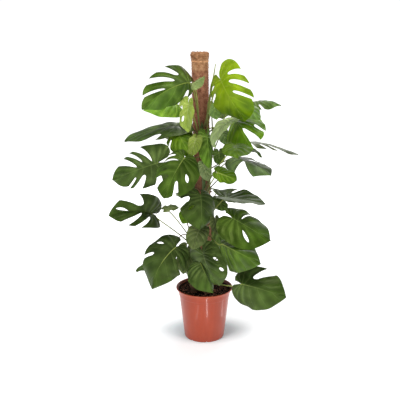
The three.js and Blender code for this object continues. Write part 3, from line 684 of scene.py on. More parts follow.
LEAVES = (
    Leaf("leaf_01", (-57, -94, 1097), (-235, -215, 1010), (-0.16, -0.89, 0.44), 0.73, 75, (-59, 1), (-22, 19),
         FRONT, 892, MID, light=(1.9, 1.0),
         cuts=((slit(0.42, 0.3, 0.06), uncut(0.61), uncut(0.81)),
               (slit(0.59, 0.41, 0.045, 0.9), slit(0.73, 0.26, 0.042, 0.8), slit(0.86, 0.17, 0.03, 0.45)))),
    Leaf("leaf_02", (58, -139, 1115), (155, -153, 959), (-0.26, -0.96, 0.1), 1.11, 75, (33, -31), (-32, -14),
         FRONT, 903, LIME, light=(1.0, 0.75),
         cuts=((slit(0.49, 0.38, 0.026), slit(0.61, 0.3, 0.035, 0.8), slit(0.71, 0.29, 0.03, 0.35)),
               (hole(0.39, 0.4, 0.75, 0.03), slit(0.53, 0.5, 0.03), uncut(0.76)))),
    Leaf("leaf_03", (121, -52, 1012), (213, -127, 958), (0.1, -0.57, 0.82), 0.95, 41, (-11, 8), (-24, -30),
         FRONT, 800, MID, light=(2.0, 2.0)),
    Leaf("leaf_05", (36, -42, 1006), (48, -66, 948), (-0.1, -0.9, 0.3), 0.9, 20, (8, 8), (-20, -20),
         FRONT, 838, MID, light=(2.3, 2.3)),
    Leaf("leaf_06", (119, -28, 946), (179, -195, 852), (-0.12, -0.94, 0.33), 1.13, 59, (-17, -37), (-32, -15),
         FRONT, 725, BRIGHT, lift=0.4, light=(1.5, 1.3),
         cuts=((slit(0.72, 0.6, 0.035, 0.7), slit(0.9, 0.21, 0.05)), (slit(0.36, 0.6, 0.04), uncut(0.68)))),
    Leaf("leaf_07", (96, -139, 953), (37, -170, 859), (-0.81, -0.15, 0.57), 0.7, 75, (10, 32), (-45, -25),
         FRONT, 890, GREY, light=(2.3, 2.3)),
    Leaf("leaf_08", (116, -202, 875), (121, -314, 847), (0.02, -0.6, 0.8), 1.03, 24, (5, 2), (-27, -32),
         FRONT, 650, BRIGHT, leave=1.9, light=(0.75, 0.75)),
    Leaf("leaf_09", (203, 79, 999), (313, 69, 983), (0, 0.16, 0.99), 1, 51, (3, -21), (-19, -50),
         BACK, 850, DARK, light=(1.6, 1.6),
         cuts=(ENTIRE, (slit(0.55, 0.5, 0.03),))),
    Leaf("leaf_10", (189, 67, 832), (393, 71, 776), (0.13, 0.23, 0.96), 0.69, 24, (3, -6), (6, -27),
         BACK, 660, GREY, light=(0.7, 0.7),
         cuts=((slit(0.42, 0.34, 0.024), slit(0.62, 0.3, 0.028), slit(0.72, 0.34, 0.024)),
               (slit(0.42, 0.34, 0.024), slit(0.57, 0.3, 0.028), slit(0.67, 0.34, 0.024)))),
    Leaf("leaf_12", (144, -19, 783), (263, -103, 731), (0.05, -0.05, 1), 1.35, 23, (-10, 5), (-6, -55),
         FRONT, 635, DARK, light=(0.8, 2.2),
         cuts=((hole(0.62, 0.12, 0.9, 0.1), uncut(0.81)), (slit(0.635, 0.17, 0.06, 2.1), uncut(0.8)))),
    Leaf("leaf_13", (48, -152, 757), (124, -183, 732), (-0.04, -0.67, 0.74), 1.07, 8, (-7, -64), (-26, -26),
         FRONT, 630, BRIGHT),
    Leaf("leaf_14", (56, -77, 822), (59, -68, 767), (0.15, -0.94, 0.3), 0.91, 21, (8, 6), (-19, -19),
         FRONT, 760, DARK, light=(1.5, 1.5)),
    Leaf("leaf_15", (82, -94, 641), (244, -116, 618), (0, -0.14, 0.99), 0.98, 8, (-3, 17), (22, -10),
         FRONT, 520, DARK,
         cuts=((slit(0.55, 0.49, 0.025), uncut(0.77)), (uncut(0.33), uncut(0.67)))),
    Leaf("leaf_16", (106, -209, 589), (252, -254, 509), (0.29, -0.71, 0.64), 1.16, 8, (-23, -3), (-9, -25),
         FRONT, 505, MID, relief=1.4,
         cuts=((slit(0.55, 0.18, 0.02, 0.5), uncut(0.78)), (hole(0.77, 0.32, 0.78, 0.025), uncut(0.88)))),
    Leaf("leaf_17", (65, -213, 485), (212, -314, 438), (-0.03, -0.95, 0.3), 1.19, 75, (-48, -43), (-32, -6),
         FRONT, 458, MID, light=(1.2, 1.2), relief=1.5),
    Leaf("leaf_18", (40, -172, 572), (48, -190, 515), (0.5, -0.85, 0.1), 0.85, 20, (5, 5), (-25, -25),
         FRONT, 482, GREY, light=(0.55, 0.55)),
    Leaf("leaf_19", (144, -205, 315), (318, -267, 282), (0.11, -0.87, 0.48), 1.1, 38, (-19, -32), (-6, -20),
         FRONT, 232, DARK, relief=0.7,
         cuts=((slit(0.65, 0.34, 0.065, 1),), ENTIRE)),
    Leaf("leaf_20", (-114, -192, 465), (-206, -222, 299), (-0.43, -0.68, 0.59), 1.08, 75, (-55, -4),
         (-22, -6), LEFT, 418, DARK, light=(0.9, 0.8),
         cuts=((slit(0.57, 0.26, 0.03), uncut(0.72), uncut(0.86)),
               (hole(0.48, 0.46, 0.8, 0.02), slit(0.65, 0.54, 0.025, 0.8), uncut(0.82)))),
    Leaf("leaf_21", (-165, -30, 353), (-285, -50, 308), (-0.2, 0, 1), 0.9, 30, (4, 4), (-20, -20),
         LEFT, 260, DARK,
         cuts=(NICK, NICK)),
    Leaf("leaf_22", (-72, -50, 410), (-88, -97, 314), (-0.2, -0.9, 0.4), 0.8, 30, (4, 4), (-20, -20),
         LEFT, 320, GREY,
         cuts=(NICK, NICK)),
    Leaf("leaf_23", (-18, -221, 408), (32, -296, 313), (-0.01, -0.86, 0.51), 1.11, 60, (-66, -15), (-28, -12),
         FRONT, 240, DARK, leave=0.1, lift=4, hold=0.5),
    Leaf("leaf_24", (-8, -153, 430), (60, -136, 278), (-0.63, -0.74, 0.25), 1.05, 41, (3, -3), (-41, -23),
         FRONT, 340, DARK, light=(1.1, 1.1),
         cuts=((hole(0.59, 0.44, 0.65, 0.03), hole(0.7, 0.64, 0.85, 0.03)), (uncut(0.33), uncut(0.67)))),
    Leaf("leaf_25", (-17, -168, 670), (-19, -204, 539), (0.31, -0.68, 0.66), 1.25, 53, (-20, -7), (-20, -18),
         FRONT, 560, DARK, light=(0.9, 0.8),
         cuts=((uncut(0.33), uncut(0.67)), (slit(0.5, 0.47, 0.06), hole(0.68, 0.3, 0.65, 0.035)))),
    Leaf("leaf_26", (-20, -160, 530), (-48, -225, 465), (-0.1, -0.75, 0.6), 0.95, 30, (10, 10), (-25, -25),
         FRONT, 420, GREY),
    Leaf("leaf_27", (-217, -45, 559), (-381, -149, 579), (-0.03, -0.81, 0.59), 0.78, 64, (23, 42), (-36, 6),
         LEFT, 400, DARK, light=(0.8, 0.9),
         cuts=((slit(0.63, 0.32, 0.03), slit(0.77, 0.15, 0.035), uncut(0.89)),
               (uncut(0.34), slit(0.68, 0.35, 0.07), hole(0.87, 0.14, 0.85, 0.028)))),
    Leaf("leaf_28", (-159, -52, 580), (-105, -30, 580), (0.1, -0.15, 0.98), 0.95, 40, (6, 6), (-20, -20),
         LEFT, 425, GREY, light=(1.4, 1.4)),
    Leaf("leaf_29", (-180, -147, 794), (-369, -54, 701), (-0.12, -0.89, 0.44), 0.8, 19, (-20, 6), (-38, -27),
         LEFT, 640, DARK,
         cuts=((slit(0.48, 0.3, 0.035), slit(0.7, 0.32, 0.04), slit(0.79, 0.4, 0.015, 0.8)),
               (slit(0.58, 0.12, 0.035), slit(0.68, 0.25, 0.02), slit(0.78, 0.16, 0.035)))),
    Leaf("leaf_31", (-79, -193, 824), (-153, -291, 688), (-0.14, -0.76, 0.63), 1.09, 37, (-47, -8), (6, -38),
         FRONT, 782, MID,
         cuts=((uncut(0.34), hole(0.68, 0.43, 0.72, 0.04), slit(0.86, 0.45, 0.03), uncut(0.93)),
               (slit(0.39, 0.4, 0.032, 1), slit(0.49, 0.12, 0.032, 0.7), hole(0.65, 0.35, 0.65, 0.02),
                slit(0.76, 0.24, 0.05)))),
    Leaf("leaf_32", (-101, -16, 915), (-322, -20, 852), (-0.07, -0.08, 0.99), 0.84, 31, (-1, 8), (-22, -27),
         LEFT, 740, DARK, light=(1.1, 1.1),
         cuts=((slit(0.64, 0.66, 0.035),), ENTIRE)),
    Leaf("leaf_33", (-111, -21, 999), (-242, -50, 981), (-0.07, -0.24, 0.97), 0.98, 60, (-18, 0), (-40, -30),
         FRONT, 850, BRIGHT, light=(2.0, 1.8)),
    Leaf("leaf_34", (-62, -133, 1019), (-68, -120, 907), (-0.63, -0.77, 0.14), 0.82, 16, (27, 5), (-15, -11),
         FRONT, 834, PALE,
         cuts=((uncut(0.33), uncut(0.67)), (slit(0.55, 0.5, 0.05), hole(0.77, 0.4, 0.8, 0.05)))),
    Leaf("leaf_35", (-112, -60, 900), (-59, -145, 818), (0.04, -0.86, 0.5), 0.97, 58, (-11, -18), (-28, -24),
         LEFT, 690, BRIGHT,
         cuts=(ENTIRE, (slit(0.57, 0.5, 0.03),))),
    Leaf("leaf_36", (-34, -129, 886), (-55, -153, 818), (-0.18, -0.87, 0.45), 0.8, 18, (10, -7), (-20, -26),
         FRONT, 808, PALE, light=(0.7, 0.7)),
    Leaf("leaf_37", (8, -102, 891), (16, -154, 773), (0.4, -0.88, 0.24), 0.64, 17, (-24, -7), (-35, -27),
         FRONT, 819, MID, light=(1.8, 1.7)),
    Leaf("leaf_38", (-5, -66, 768), (15, -86, 705), (-0.2, -0.9, 0.2), 0.8, 20, (8, 8), (-20, -20),
         FRONT, 690, GREY, light=(2.4, 2.4)),
    Leaf("leaf_39", (-45, -78, 598), (-90, -118, 538), (-0.2, -0.8, 0.5), 0.95, 30, (6, 6), (-20, -20),
         FRONT, 510, BRIGHT),
    Leaf("leaf_40", (35, 170, 980), (80, 320, 890), (0.1, 0.7, 0.7), 1, 40, (4, 4), (-25, -25),
         BACK, 800, MID,
         cuts=(THREE, THREE)),
    Leaf("leaf_41", (-65, 160, 890), (-150, 285, 800), (-0.4, 0.6, 0.7), 1, 40, (4, 4), (-25, -25),
         BACK, 740, DARK,
         cuts=(THREE, THREE)),
    Leaf("leaf_42", (57, 111, 618), (137, 220, 531), (0.5, 0.6, 0.6), 1, 40, (4, 4), (-25, -25),
         BACK, 530, DARK,
         cuts=(THREE, THREE_HOLED)),
    Leaf("leaf_43", (-27, 94, 621), (-95, 222, 551), (-0.1, 0.35, 0.93), 1, 40, (4, 4), (-25, -25),
         BACK, 510, MID,
         cuts=(THREE_HOLED, THREE)),
    Leaf("leaf_44", (46, 125, 457), (148, 224, 373), (0.5, 0.3, 0.8), 1, 40, (4, 4), (-25, -25),
         BACK, 350, MID,
         cuts=(TWO, TWO)),
    Leaf("leaf_45", (109, 75, 372), (189, 200, 289), (0.05, 0.35, 0.93), 0.95, 40, (4, 4), (-25, -25),
         BACK, 290, DARK,
         cuts=(TWO, TWO)),
    Leaf("leaf_46", (43, 62, 587), (95, 40, 547), (0.1, -0.6, 0.8), 0.95, 30, (6, 6), (-20, -20),
         BACK, 537, DARK, light=(1.8, 1.8)),
    Leaf("leaf_47", (45, 58, 482), (73, 40, 381), (0.3, -0.9, 0.3), 0.8, 30, (6, 6), (-20, -20),
         BACK, 432, DARK, light=(1.9, 1.9)),
    Leaf("leaf_48", (69, 30, 887), (93, 6, 831), (0.3, -0.85, 0.4), 0.85, 30, (6, 6), (-20, -20),
         BACK, 838, DARK, light=(2.2, 2.2)),
    Leaf("leaf_49", (155, -20, 816), (229, -60, 796), (0.15, -0.02, 1), 0.6, 75, (6, 6), (-20, -20),
         BACK, 700, DARK),
    Leaf("leaf_50", (-47, -112, 1093), (-1, -122, 1123), (-0.1, -0.95, 0.3), 1.05, 20, (-70, 8), (-10, -25),
         FRONT, 864, GREY, leave=1.2, light=(1.9, 1.8)),
)


@dataclass
class FlatBlade:
    """The flat outline that all blades share, and how a vein line crosses it.

    Attributes:
        margin: the right half's margin in shares of the length: sinus, basal lobe, side, tip.
        half_width: the margin's widest place.
        midrib_reach: how far along the midrib the last veins leave it.
        vein_sweep: how far the veins bow towards the base.
        rounding: how far a finger's first corner, beyond an open slit, draws back.
        corner: how far along the margin that rounding reaches.
        point_rounding: how far the pointed corner before the slit draws back.
    """

    margin: np.ndarray = field(
        default_factory=lambda: np.array([
            [-0.19, 0.05], [-0.25, 0.16], [-0.2, 0.32], [-0.03, 0.43], [0.23, 0.475],
            [0.5, 0.46], [0.73, 0.36], [0.9, 0.17], [1, 0],
        ])
    )
    half_width: float = 0.475
    midrib_reach: float = 0.93
    vein_sweep: float = 0.11
    rounding: float = 0.13
    corner: float = 0.09
    point_rounding: float = 0.03

    def margin_point(self, along: np.ndarray) -> tuple[np.ndarray, np.ndarray]:
        """Points of the smooth curve through the margin's corners.

        Args:
            along: places from sinus 0 to tip 1.

        Returns:
            How far along and how far out each lies.
        """
        spans = len(self.margin) - 1
        place = np.clip(along, 0, 1) * spans
        span = np.minimum(place.astype(int), spans - 1)
        s = (place - span)[..., None]
        before, start, end, after = (
            self.margin[np.clip(span + i, 0, spans)] for i in (-1, 0, 1, 2)
        )
        curve = 0.5 * (
            2 * start
            + (end - before) * s
            + (2 * before - 5 * start + 4 * end - after) * s**2
            + (3 * start - before - 3 * end + after) * s**3
        )
        return curve[..., 0], curve[..., 1]

    def midrib_point(self, along: np.ndarray) -> np.ndarray:
        """Where on the midrib the vein line to a place on the margin starts."""
        return self.midrib_reach * (0.04 * along + 0.96 * along**4)

    def point(self, midrib: np.ndarray, along: np.ndarray, t: np.ndarray) -> tuple[np.ndarray, np.ndarray]:
        """The flat place at share t of the way out along a vein line.

        Args:
            midrib: where the line starts on the midrib.
            along: where it ends on the margin.
            t: the share of the way.

        Returns:
            How far along and how far out the place lies.
        """
        end_along, end_out = self.margin_point(along)
        sweep = self.vein_sweep * np.sin(np.pi * along)
        bend_along = (midrib + end_along) / 2 - sweep
        bend_out = end_out / 2 + sweep * 0.4
        u = (1 - t) ** 2 * midrib + 2 * t * (1 - t) * bend_along + t**2 * end_along
        return u, 2 * t * (1 - t) * bend_out + t**2 * end_out

    def pull(self, gaps: Cuts, along: np.ndarray, t: np.ndarray) -> np.ndarray:
        """How far a finger's corners draw back from the margin beside open slits.

        Args:
            gaps: the half's vein lines.
            along: places on the margin.
            t: shares of the way out to them.

        Returns:
            What to take off each share.
        """
        total = np.zeros_like(t)
        for gap in gaps:
            if gap.width > 0 and gap.end == 1:
                near = np.maximum(0, 1 - np.abs(along - gap.along) / self.corner)
                out = np.maximum(0, (t - gap.root) / (1 - gap.root))
                depth = np.where(along > gap.along, self.rounding, self.point_rounding)
                total = total + depth * near**2 * out**3
        return total


@dataclass(frozen=True)
class Strip:
    """The span between two vein lines of one half of a blade.

    Attributes:
        before: the gap where it starts, or None at the sinus.
        after: the gap where it ends, or None at the tip.
        ends: those two places on the margin.
        mean: the same, averaged with the other half's.
        veins: how many primary veins it has.
    """

    before: Gap | None
    after: Gap | None
    ends: Pair
    mean: Pair
    veins: int


# What each point of a blade carries: its UV place in metres, its share of the way out, its lane, which is
# 0 on a vein and 1 between two, and its distances from that vein, the midrib and the margin.
VALUES = ("u", "v", "out", "lane", "vein", "rib", "edge")


@dataclass
class Blade:
    """One leaf's blade: a thin closed shell, bent as its row of the table says.

    Attributes:
        leaf: its row.
        flat: the outline.
        rows: cells from the midrib to the margin.
        cells: cells across the space between two primary veins.
        vein_spacing: the margin's share between two primary veins.
        thickness: of the shell.
        quilting: how far the blade stands up between veins.
        ripple: how far the margin waves.
        waves: how fast its long and its short waves follow, in radians of the blade's length.
        seam: how wide the change of light is at the midrib, in metres.
    """

    leaf: Leaf
    flat: FlatBlade
    rows: int = 22
    cells: int = 8
    vein_spacing: float = 0.13
    thickness: float = 0.8
    quilting: float = 2.3
    ripple: float = 2.8
    waves: Pair = (9.0, 17.0)
    seam: float = 0.008

    def __post_init__(self) -> None:
        """Works out the blade's axes, arc and length."""
        self.joint = np.array(self.leaf.joint, float)
        chord = np.array(self.leaf.tip, float) - self.joint
        self.span = float(np.linalg.norm(chord))
        self.chord = chord / self.span
        normal = np.array(self.leaf.faces, float)
        normal -= self.chord * (normal @ self.chord)
        self.normal = unit(normal)
        self.side = np.cross(self.normal, self.chord)
        self.arc = math.radians(self.leaf.bend)
        self.radius = self.span / (2 * math.sin(self.arc / 2))
        self.length = self.radius * self.arc
        seed = sum(ord(letter) * (i + 7) for i, letter in enumerate(self.leaf.name))
        self.draw = np.random.default_rng(seed)

    def _upward(self, angle: np.ndarray) -> np.ndarray:
        """Which way the upper side looks at angles along the midrib's arc."""
        up = np.multiply.outer(np.cos(angle), self.normal)
        return up + np.multiply.outer(np.sin(angle), self.chord)

    def bent(self, half: int, u: np.ndarray, v: np.ndarray) -> np.ndarray:
        """Where places of the flat blade lie on the bent one.

        Args:
            half: 0 for the left, 1 for the right.
            u: how far along they lie.
            v: how far out.

        Returns:
            Their points.
        """
        angle = self.arc * (u - 0.5)
        along = self.span / 2 + self.radius * np.sin(angle)
        lift = self.radius * (np.cos(angle) - math.cos(self.arc / 2))
        fold, curl = (math.radians(pair[half]) for pair in (self.leaf.fold, self.leaf.curl))
        reach = self.flat.half_width * self.length * self.leaf.width / curl
        out = fold + curl * v / self.flat.half_width
        across = reach * (np.sin(out) - math.sin(fold)) * (1 if half == 0 else -1)
        rise = reach * (math.cos(fold) - np.cos(out))
        return (
            self.joint
            + np.multiply.outer(along, self.chord)
            + np.multiply.outer(lift, self.normal)
            + np.multiply.outer(across, self.side)
            + self._upward(angle) * rise[..., None]
        )

    def _gap_rows(self, gap: Gap | None) -> tuple[np.ndarray, np.ndarray]:
        """Moves rows onto a gap's ends and opens them between.

        Args:
            gap: the opening, or None at the blade's ends.

        Returns:
            Each row's share of the way out, and how far the gap stands open there.
        """
        even = np.linspace(0, 1, self.rows + 1)
        if gap is None or gap.width == 0:
            return even, np.zeros_like(even)
        start = min(max(round(gap.root * self.rows), 2), self.rows - 4)
        stop = self.rows
        if gap.end < 1:
            stop = min(max(round(gap.end * self.rows), start + 3), self.rows - 1)
        knots = [0, start, stop] + ([self.rows] if stop < self.rows else [])
        places = [0, gap.root, gap.end] + ([1.0] if stop < self.rows else [])
        shares = np.interp(np.arange(self.rows + 1), knots, places)
        s = np.clip((np.arange(self.rows + 1) - start) / (stop - start), 0, 1)
        if gap.end < 1:
            opening = np.maximum(np.sin(np.pi * s), 0) ** 0.7
        else:
            rounded = np.sqrt(1 - (1 - np.minimum(s / 0.16, 1)) ** 2)
            opening = (1 + (gap.mouth - 1) * s) * rounded
        opening[s <= 0] = 0
        if gap.end < 1:
            opening[s >= 1] = 0
        return shares, gap.width * opening

    def _strips(self, half: int) -> list[Strip]:
        """Lists the spans between one half's vein lines.

        Args:
            half: 0 for the left, 1 for the right.

        Returns:
            The spans from the sinus to the tip.
        """
        gaps, other = self.leaf.cuts[half], self.leaf.cuts[1 - half]
        lines = [None, *gaps, None]
        stops = [0.0, *(gap.along for gap in gaps), 1.0]
        mean = [0.0, *((a.along + b.along) / 2 for a, b in zip(gaps, other)), 1.0]
        strips = []
        for i in range(len(gaps) + 1):
            veins = max(1, round((mean[i + 1] - mean[i]) / self.vein_spacing))
            ends, means = (stops[i], stops[i + 1]), (mean[i], mean[i + 1])
            strips.append(Strip(lines[i], lines[i + 1], ends, means, veins))
        return strips

    def _grid(self, half: int, strip: Strip) -> tuple[np.ndarray, np.ndarray]:
        """Lays out the points of one strip, from its first line to its last.

        Args:
            half: 0 for the left, 1 for the right.
            strip: the span.

        Returns:
            The points, each line's from the midrib outwards, and the VALUES of each.
        """
        q = np.linspace(0, 1, self.cells * strip.veins + 1)[:, None]
        before, after = self._gap_rows(strip.before), self._gap_rows(strip.after)
        t = before[0] * (1 - q) + after[0] * q
        along = (strip.ends[0] + before[1]) * (1 - q) + (strip.ends[1] - after[1]) * q
        midrib = self.flat.midrib_point(strip.mean[0] * (1 - q) + strip.mean[1] * q)
        u, v = self.flat.point(midrib, along, t - self.flat.pull(self.leaf.cuts[half], along, t))
        grid = self.bent(half, u, v)
        phase = np.abs((q * strip.veins) % 1.0 - 0.5) * 2
        spacing = np.linalg.norm(grid[-1] - grid[0], axis=-1)[None, :] / strip.veins / 2
        values = [
            u * self.length * MM,
            v * self.length * self.leaf.width * MM * (1 if half == 0 else -1),
            t,
            np.broadcast_to(phase, t.shape),
            phase * spacing,
            np.linalg.norm(grid - grid[:, :1], axis=-1),
            np.linalg.norm(grid - grid[:, -1:], axis=-1),
        ]
        return grid, np.stack(values, axis=-1)

    def surface(self) -> tuple[np.ndarray, np.ndarray, dict[str, np.ndarray]]:
        """Sews both halves' strips into the blade's middle surface.

        Returns:
            Its points, its four-sided faces seen from above, and each point's VALUES.
        """
        points: list[np.ndarray] = []
        values: list[np.ndarray] = []
        faces: list[np.ndarray] = []
        count = 0
        midrib: dict[tuple[int, int], int] = {}
        tip_line: np.ndarray | None = None
        for half in (0, 1):
            previous: np.ndarray | None = None
            strips = self._strips(half)
            for number, strip in enumerate(strips):
                grid, columns = self._grid(half, strip)
                points.append(grid.reshape(-1, 3))
                values.append(columns.reshape(-1, len(VALUES)))
                index = count + np.arange(len(points[-1])).reshape(grid.shape[:2])
                count += index.size
                for j in range(len(index)):
                    index[j, 0] = midrib.setdefault((number, j), index[j, 0])
                if previous is not None:
                    index[0, 0] = previous[0]
                    closed = self._gap_rows(strip.before)[1] == 0
                    closed[0] = False
                    index[0, closed] = previous[closed]
                if strip is strips[-1]:
                    tip_line = index[-1].copy() if tip_line is None else tip_line
                    index[-1] = tip_line
                previous = index[-1]
                a, b, c, d = index[:-1, :-1], index[1:, :-1], index[1:, 1:], index[:-1, 1:]
                order = (a, b, c, d) if half == 0 else (a, d, c, b)
                faces.append(np.stack([corner.ravel() for corner in order], axis=1))
        used, quads = np.unique(np.concatenate(faces), return_inverse=True)
        table = np.concatenate(values)[used]
        return np.concatenate(points)[used], quads.reshape(-1, 4), dict(zip(VALUES, table.T))

    @staticmethod
    def _normals(points: np.ndarray, quads: np.ndarray) -> np.ndarray:
        """Finds which way a surface looks at each point.

        Args:
            points: the surface's points.
            quads: its four-sided faces.

        Returns:
            A normal for each point, one long.
        """
        across = points[quads[:, 2]] - points[quads[:, 0]]
        other = points[quads[:, 3]] - points[quads[:, 1]]
        face = np.cross(across, other)
        normals = np.zeros_like(points)
        for corner in range(4):
            np.add.at(normals, quads[:, corner], face)
        return normals / np.maximum(np.linalg.norm(normals, axis=1), 1e-9)[:, None]

    def shell(self) -> Shape:
        """Raises the blade between its veins, waves its margin and gives it a wall.

        Returns:
            The closed shell, with the values that its skin reads.
        """
        points, quads, values = self.surface()
        normals = self._normals(points, quads)
        out, lane = values["out"], values["lane"]
        between = np.sin(np.pi / 2 * lane) * np.clip(out * 4, 0, 1) * np.clip((1.04 - out) * 4, 0, 1)
        swell = self.quilting * self.leaf.relief * between
        turns = self.draw.uniform(0, 2 * np.pi, 3)
        reach = values["u"] / (self.length * MM)
        sides = np.sign(values["v"])
        wave = np.sin(self.waves[0] * reach + turns[0] + sides)
        wave = wave + 0.7 * np.sin(self.waves[1] * reach * sides + turns[1])
        wave = wave * self.ripple * out**2.5
        points = points + normals * (swell + wave)[:, None]
        normals = self._normals(points, quads)
        half = normals * self.thickness / 2
        count = len(points)
        directed = np.concatenate([quads[:, [i, (i + 1) % 4]] for i in range(4)])
        keys = directed[:, 0] * count + directed[:, 1]
        rim = directed[~np.isin(directed[:, 1] * count + directed[:, 0], keys)]
        wall = np.stack([rim[:, 1], rim[:, 0], rim[:, 0] + count, rim[:, 1] + count], axis=1)
        faces = np.concatenate([quads, quads[:, ::-1] + count, wall])
        doubled = {key: np.concatenate([value, value]) for key, value in values.items()}
        doubled["side"] = np.repeat([0.0, 1.0], count)
        doubled["reach"] = np.clip(doubled["u"] / (self.length * MM), 0, 1)
        # Each half's light factor: partly its own tone, partly painted light where one half is lit more than
        # the other.
        halves = np.clip(0.5 + doubled["v"] / self.seam, 0, 1)
        left, right = self.leaf.light
        doubled["light"] = right + (left - right) * halves
        return Shape(np.concatenate([points + half, points - half]), list(map(tuple, faces)), doubled)

    def midrib_line(self, depth: float) -> np.ndarray:
        """Follows the underside of the midrib from the joint to near the tip.

        Args:
            depth: how far under the blade it runs at the joint.

        Returns:
            The points.
        """
        u = np.linspace(0.0, 0.96, 26)
        line = self.bent(0, u, np.zeros_like(u))
        angle = self.arc * (u - 0.5)
        return line - self._upward(angle) * depth * (1 - 0.75 * u)[:, None]


@dataclass
class Foliage:
    """All leaves: blades with midribs, petioles with sheaths, and their greens.

    Attributes:
        stems: what the petioles grow from.
        petiole_radius: of the thin part.
        sheath_radius: where the petiole leaves its stem.
        sheath_share: how much of the petiole its sheath wraps.
        knuckle_radius: where it meets the blade.
        knuckle: the middle and the length of that swelling, as shares of the petiole.
        overlap: how far the petiole runs on under the blade.
        rib_radius: of the midrib at the joint.
        steps: spans along a petiole.
        sides: points round a petiole and round a midrib.
    """

    stems: "ClimbingStems"
    petiole_radius: float = 2.3
    sheath_radius: float = 4.2
    sheath_share: float = 0.34
    knuckle_radius: float = 3.1
    knuckle: Pair = (0.97, 0.035)
    overlap: float = 2.8
    rib_radius: float = 1.9
    steps: int = 28
    sides: tuple[int, int] = (10, 8)

    def _petiole(self, leaf: Leaf, blade: Blade) -> list[Shape]:
        """Leads a stalk from the stem to the blade and on below it.

        Args:
            leaf: the leaf's row.
            blade: its blade.

        Returns:
            The petiole with its sheath and knuckle, and the midrib's ridge under the blade.
        """
        start = self.stems.centre(leaf.stem, leaf.height)
        end = blade.joint + blade.chord * self.overlap
        outward = unit((end - start) * [1, 1, 0])
        reach = np.linalg.norm(end - start) * leaf.hold
        leaving, arriving = (unit(outward + [0, 0, slope]) for slope in (leaf.leave, leaf.lift))
        line = bezier([start, start + leaving * reach, end - arriving * reach, end], self.steps)
        share = np.linspace(0, 1, len(line))
        sheath = np.clip(1 - share / self.sheath_share, 0, 1) ** 1.5
        radii = (
            self.petiole_radius
            + (self.sheath_radius - self.petiole_radius) * sheath
            + (self.knuckle_radius - self.petiole_radius) * bell(share, *self.knuckle)
        )
        stalk = tube(line, radii, self.sides[0], 1)
        under = blade.midrib_line(self.rib_radius * 0.8)
        taper = np.linspace(1, 0, len(under))
        rib = tube(under, self.rib_radius * (0.18 + 0.82 * taper), self.sides[1], 1)
        rib.values["along"] = np.ones(len(rib.points))
        return [stalk, rib]

    def build(self) -> None:
        """Grows every leaf of the table and puts it in its CAD node's place."""
        flat = FlatBlade()
        greens = {tone: LeafGreen(tone).material() for tone in Tone}
        stalk = PetioleSkin().material()
        for leaf in LEAVES:
            blade = Blade(leaf, flat)
            shapes = [blade.shell(), *self._petiole(leaf, blade)]
            set_up(f"{leaf.name}_grown", shapes, [greens[leaf.tone], stalk], leaf.tone.value, leaf.name)


@dataclass(frozen=True)
class Greens:
    """The colours of one tone of leaf; tip is what it turns to away from the joint, partly its own colour and
    partly painted light on tips that face the lamps.
    """

    deep: Colour
    light: Colour
    vein: Colour
    under: Colour
    tip: Colour


GREENS = {
    LIME: Greens(
        (0.17, 0.28, 0.003), (0.28, 0.40, 0.006), (0.36, 0.48, 0.05),
        (0.22, 0.31, 0.02), (0.045, 0.12, 0.003),
    ),
    BRIGHT: Greens(
        (0.050, 0.12, 0.003), (0.14, 0.245, 0.008), (0.25, 0.36, 0.05),
        (0.15, 0.22, 0.035), (0.07, 0.15, 0.005),
    ),
    MID: Greens(
        (0.018, 0.043, 0.002), (0.073, 0.127, 0.015), (0.15, 0.24, 0.04),
        (0.10, 0.15, 0.04), (0.043, 0.098, 0.006),
    ),
    DARK: Greens(
        (0.018, 0.038, 0.006), (0.071, 0.112, 0.027), (0.13, 0.19, 0.05),
        (0.12, 0.15, 0.06), (0.044, 0.090, 0.011),
    ),
    GREY: Greens(
        (0.070, 0.100, 0.030), (0.14, 0.175, 0.06), (0.24, 0.28, 0.12),
        (0.17, 0.20, 0.10), (0.08, 0.11, 0.035),
    ),
    PALE: Greens(
        (0.22, 0.31, 0.04), (0.38, 0.47, 0.09), (0.52, 0.60, 0.22),
        (0.34, 0.42, 0.13), (0.22, 0.32, 0.05),
    ),
}


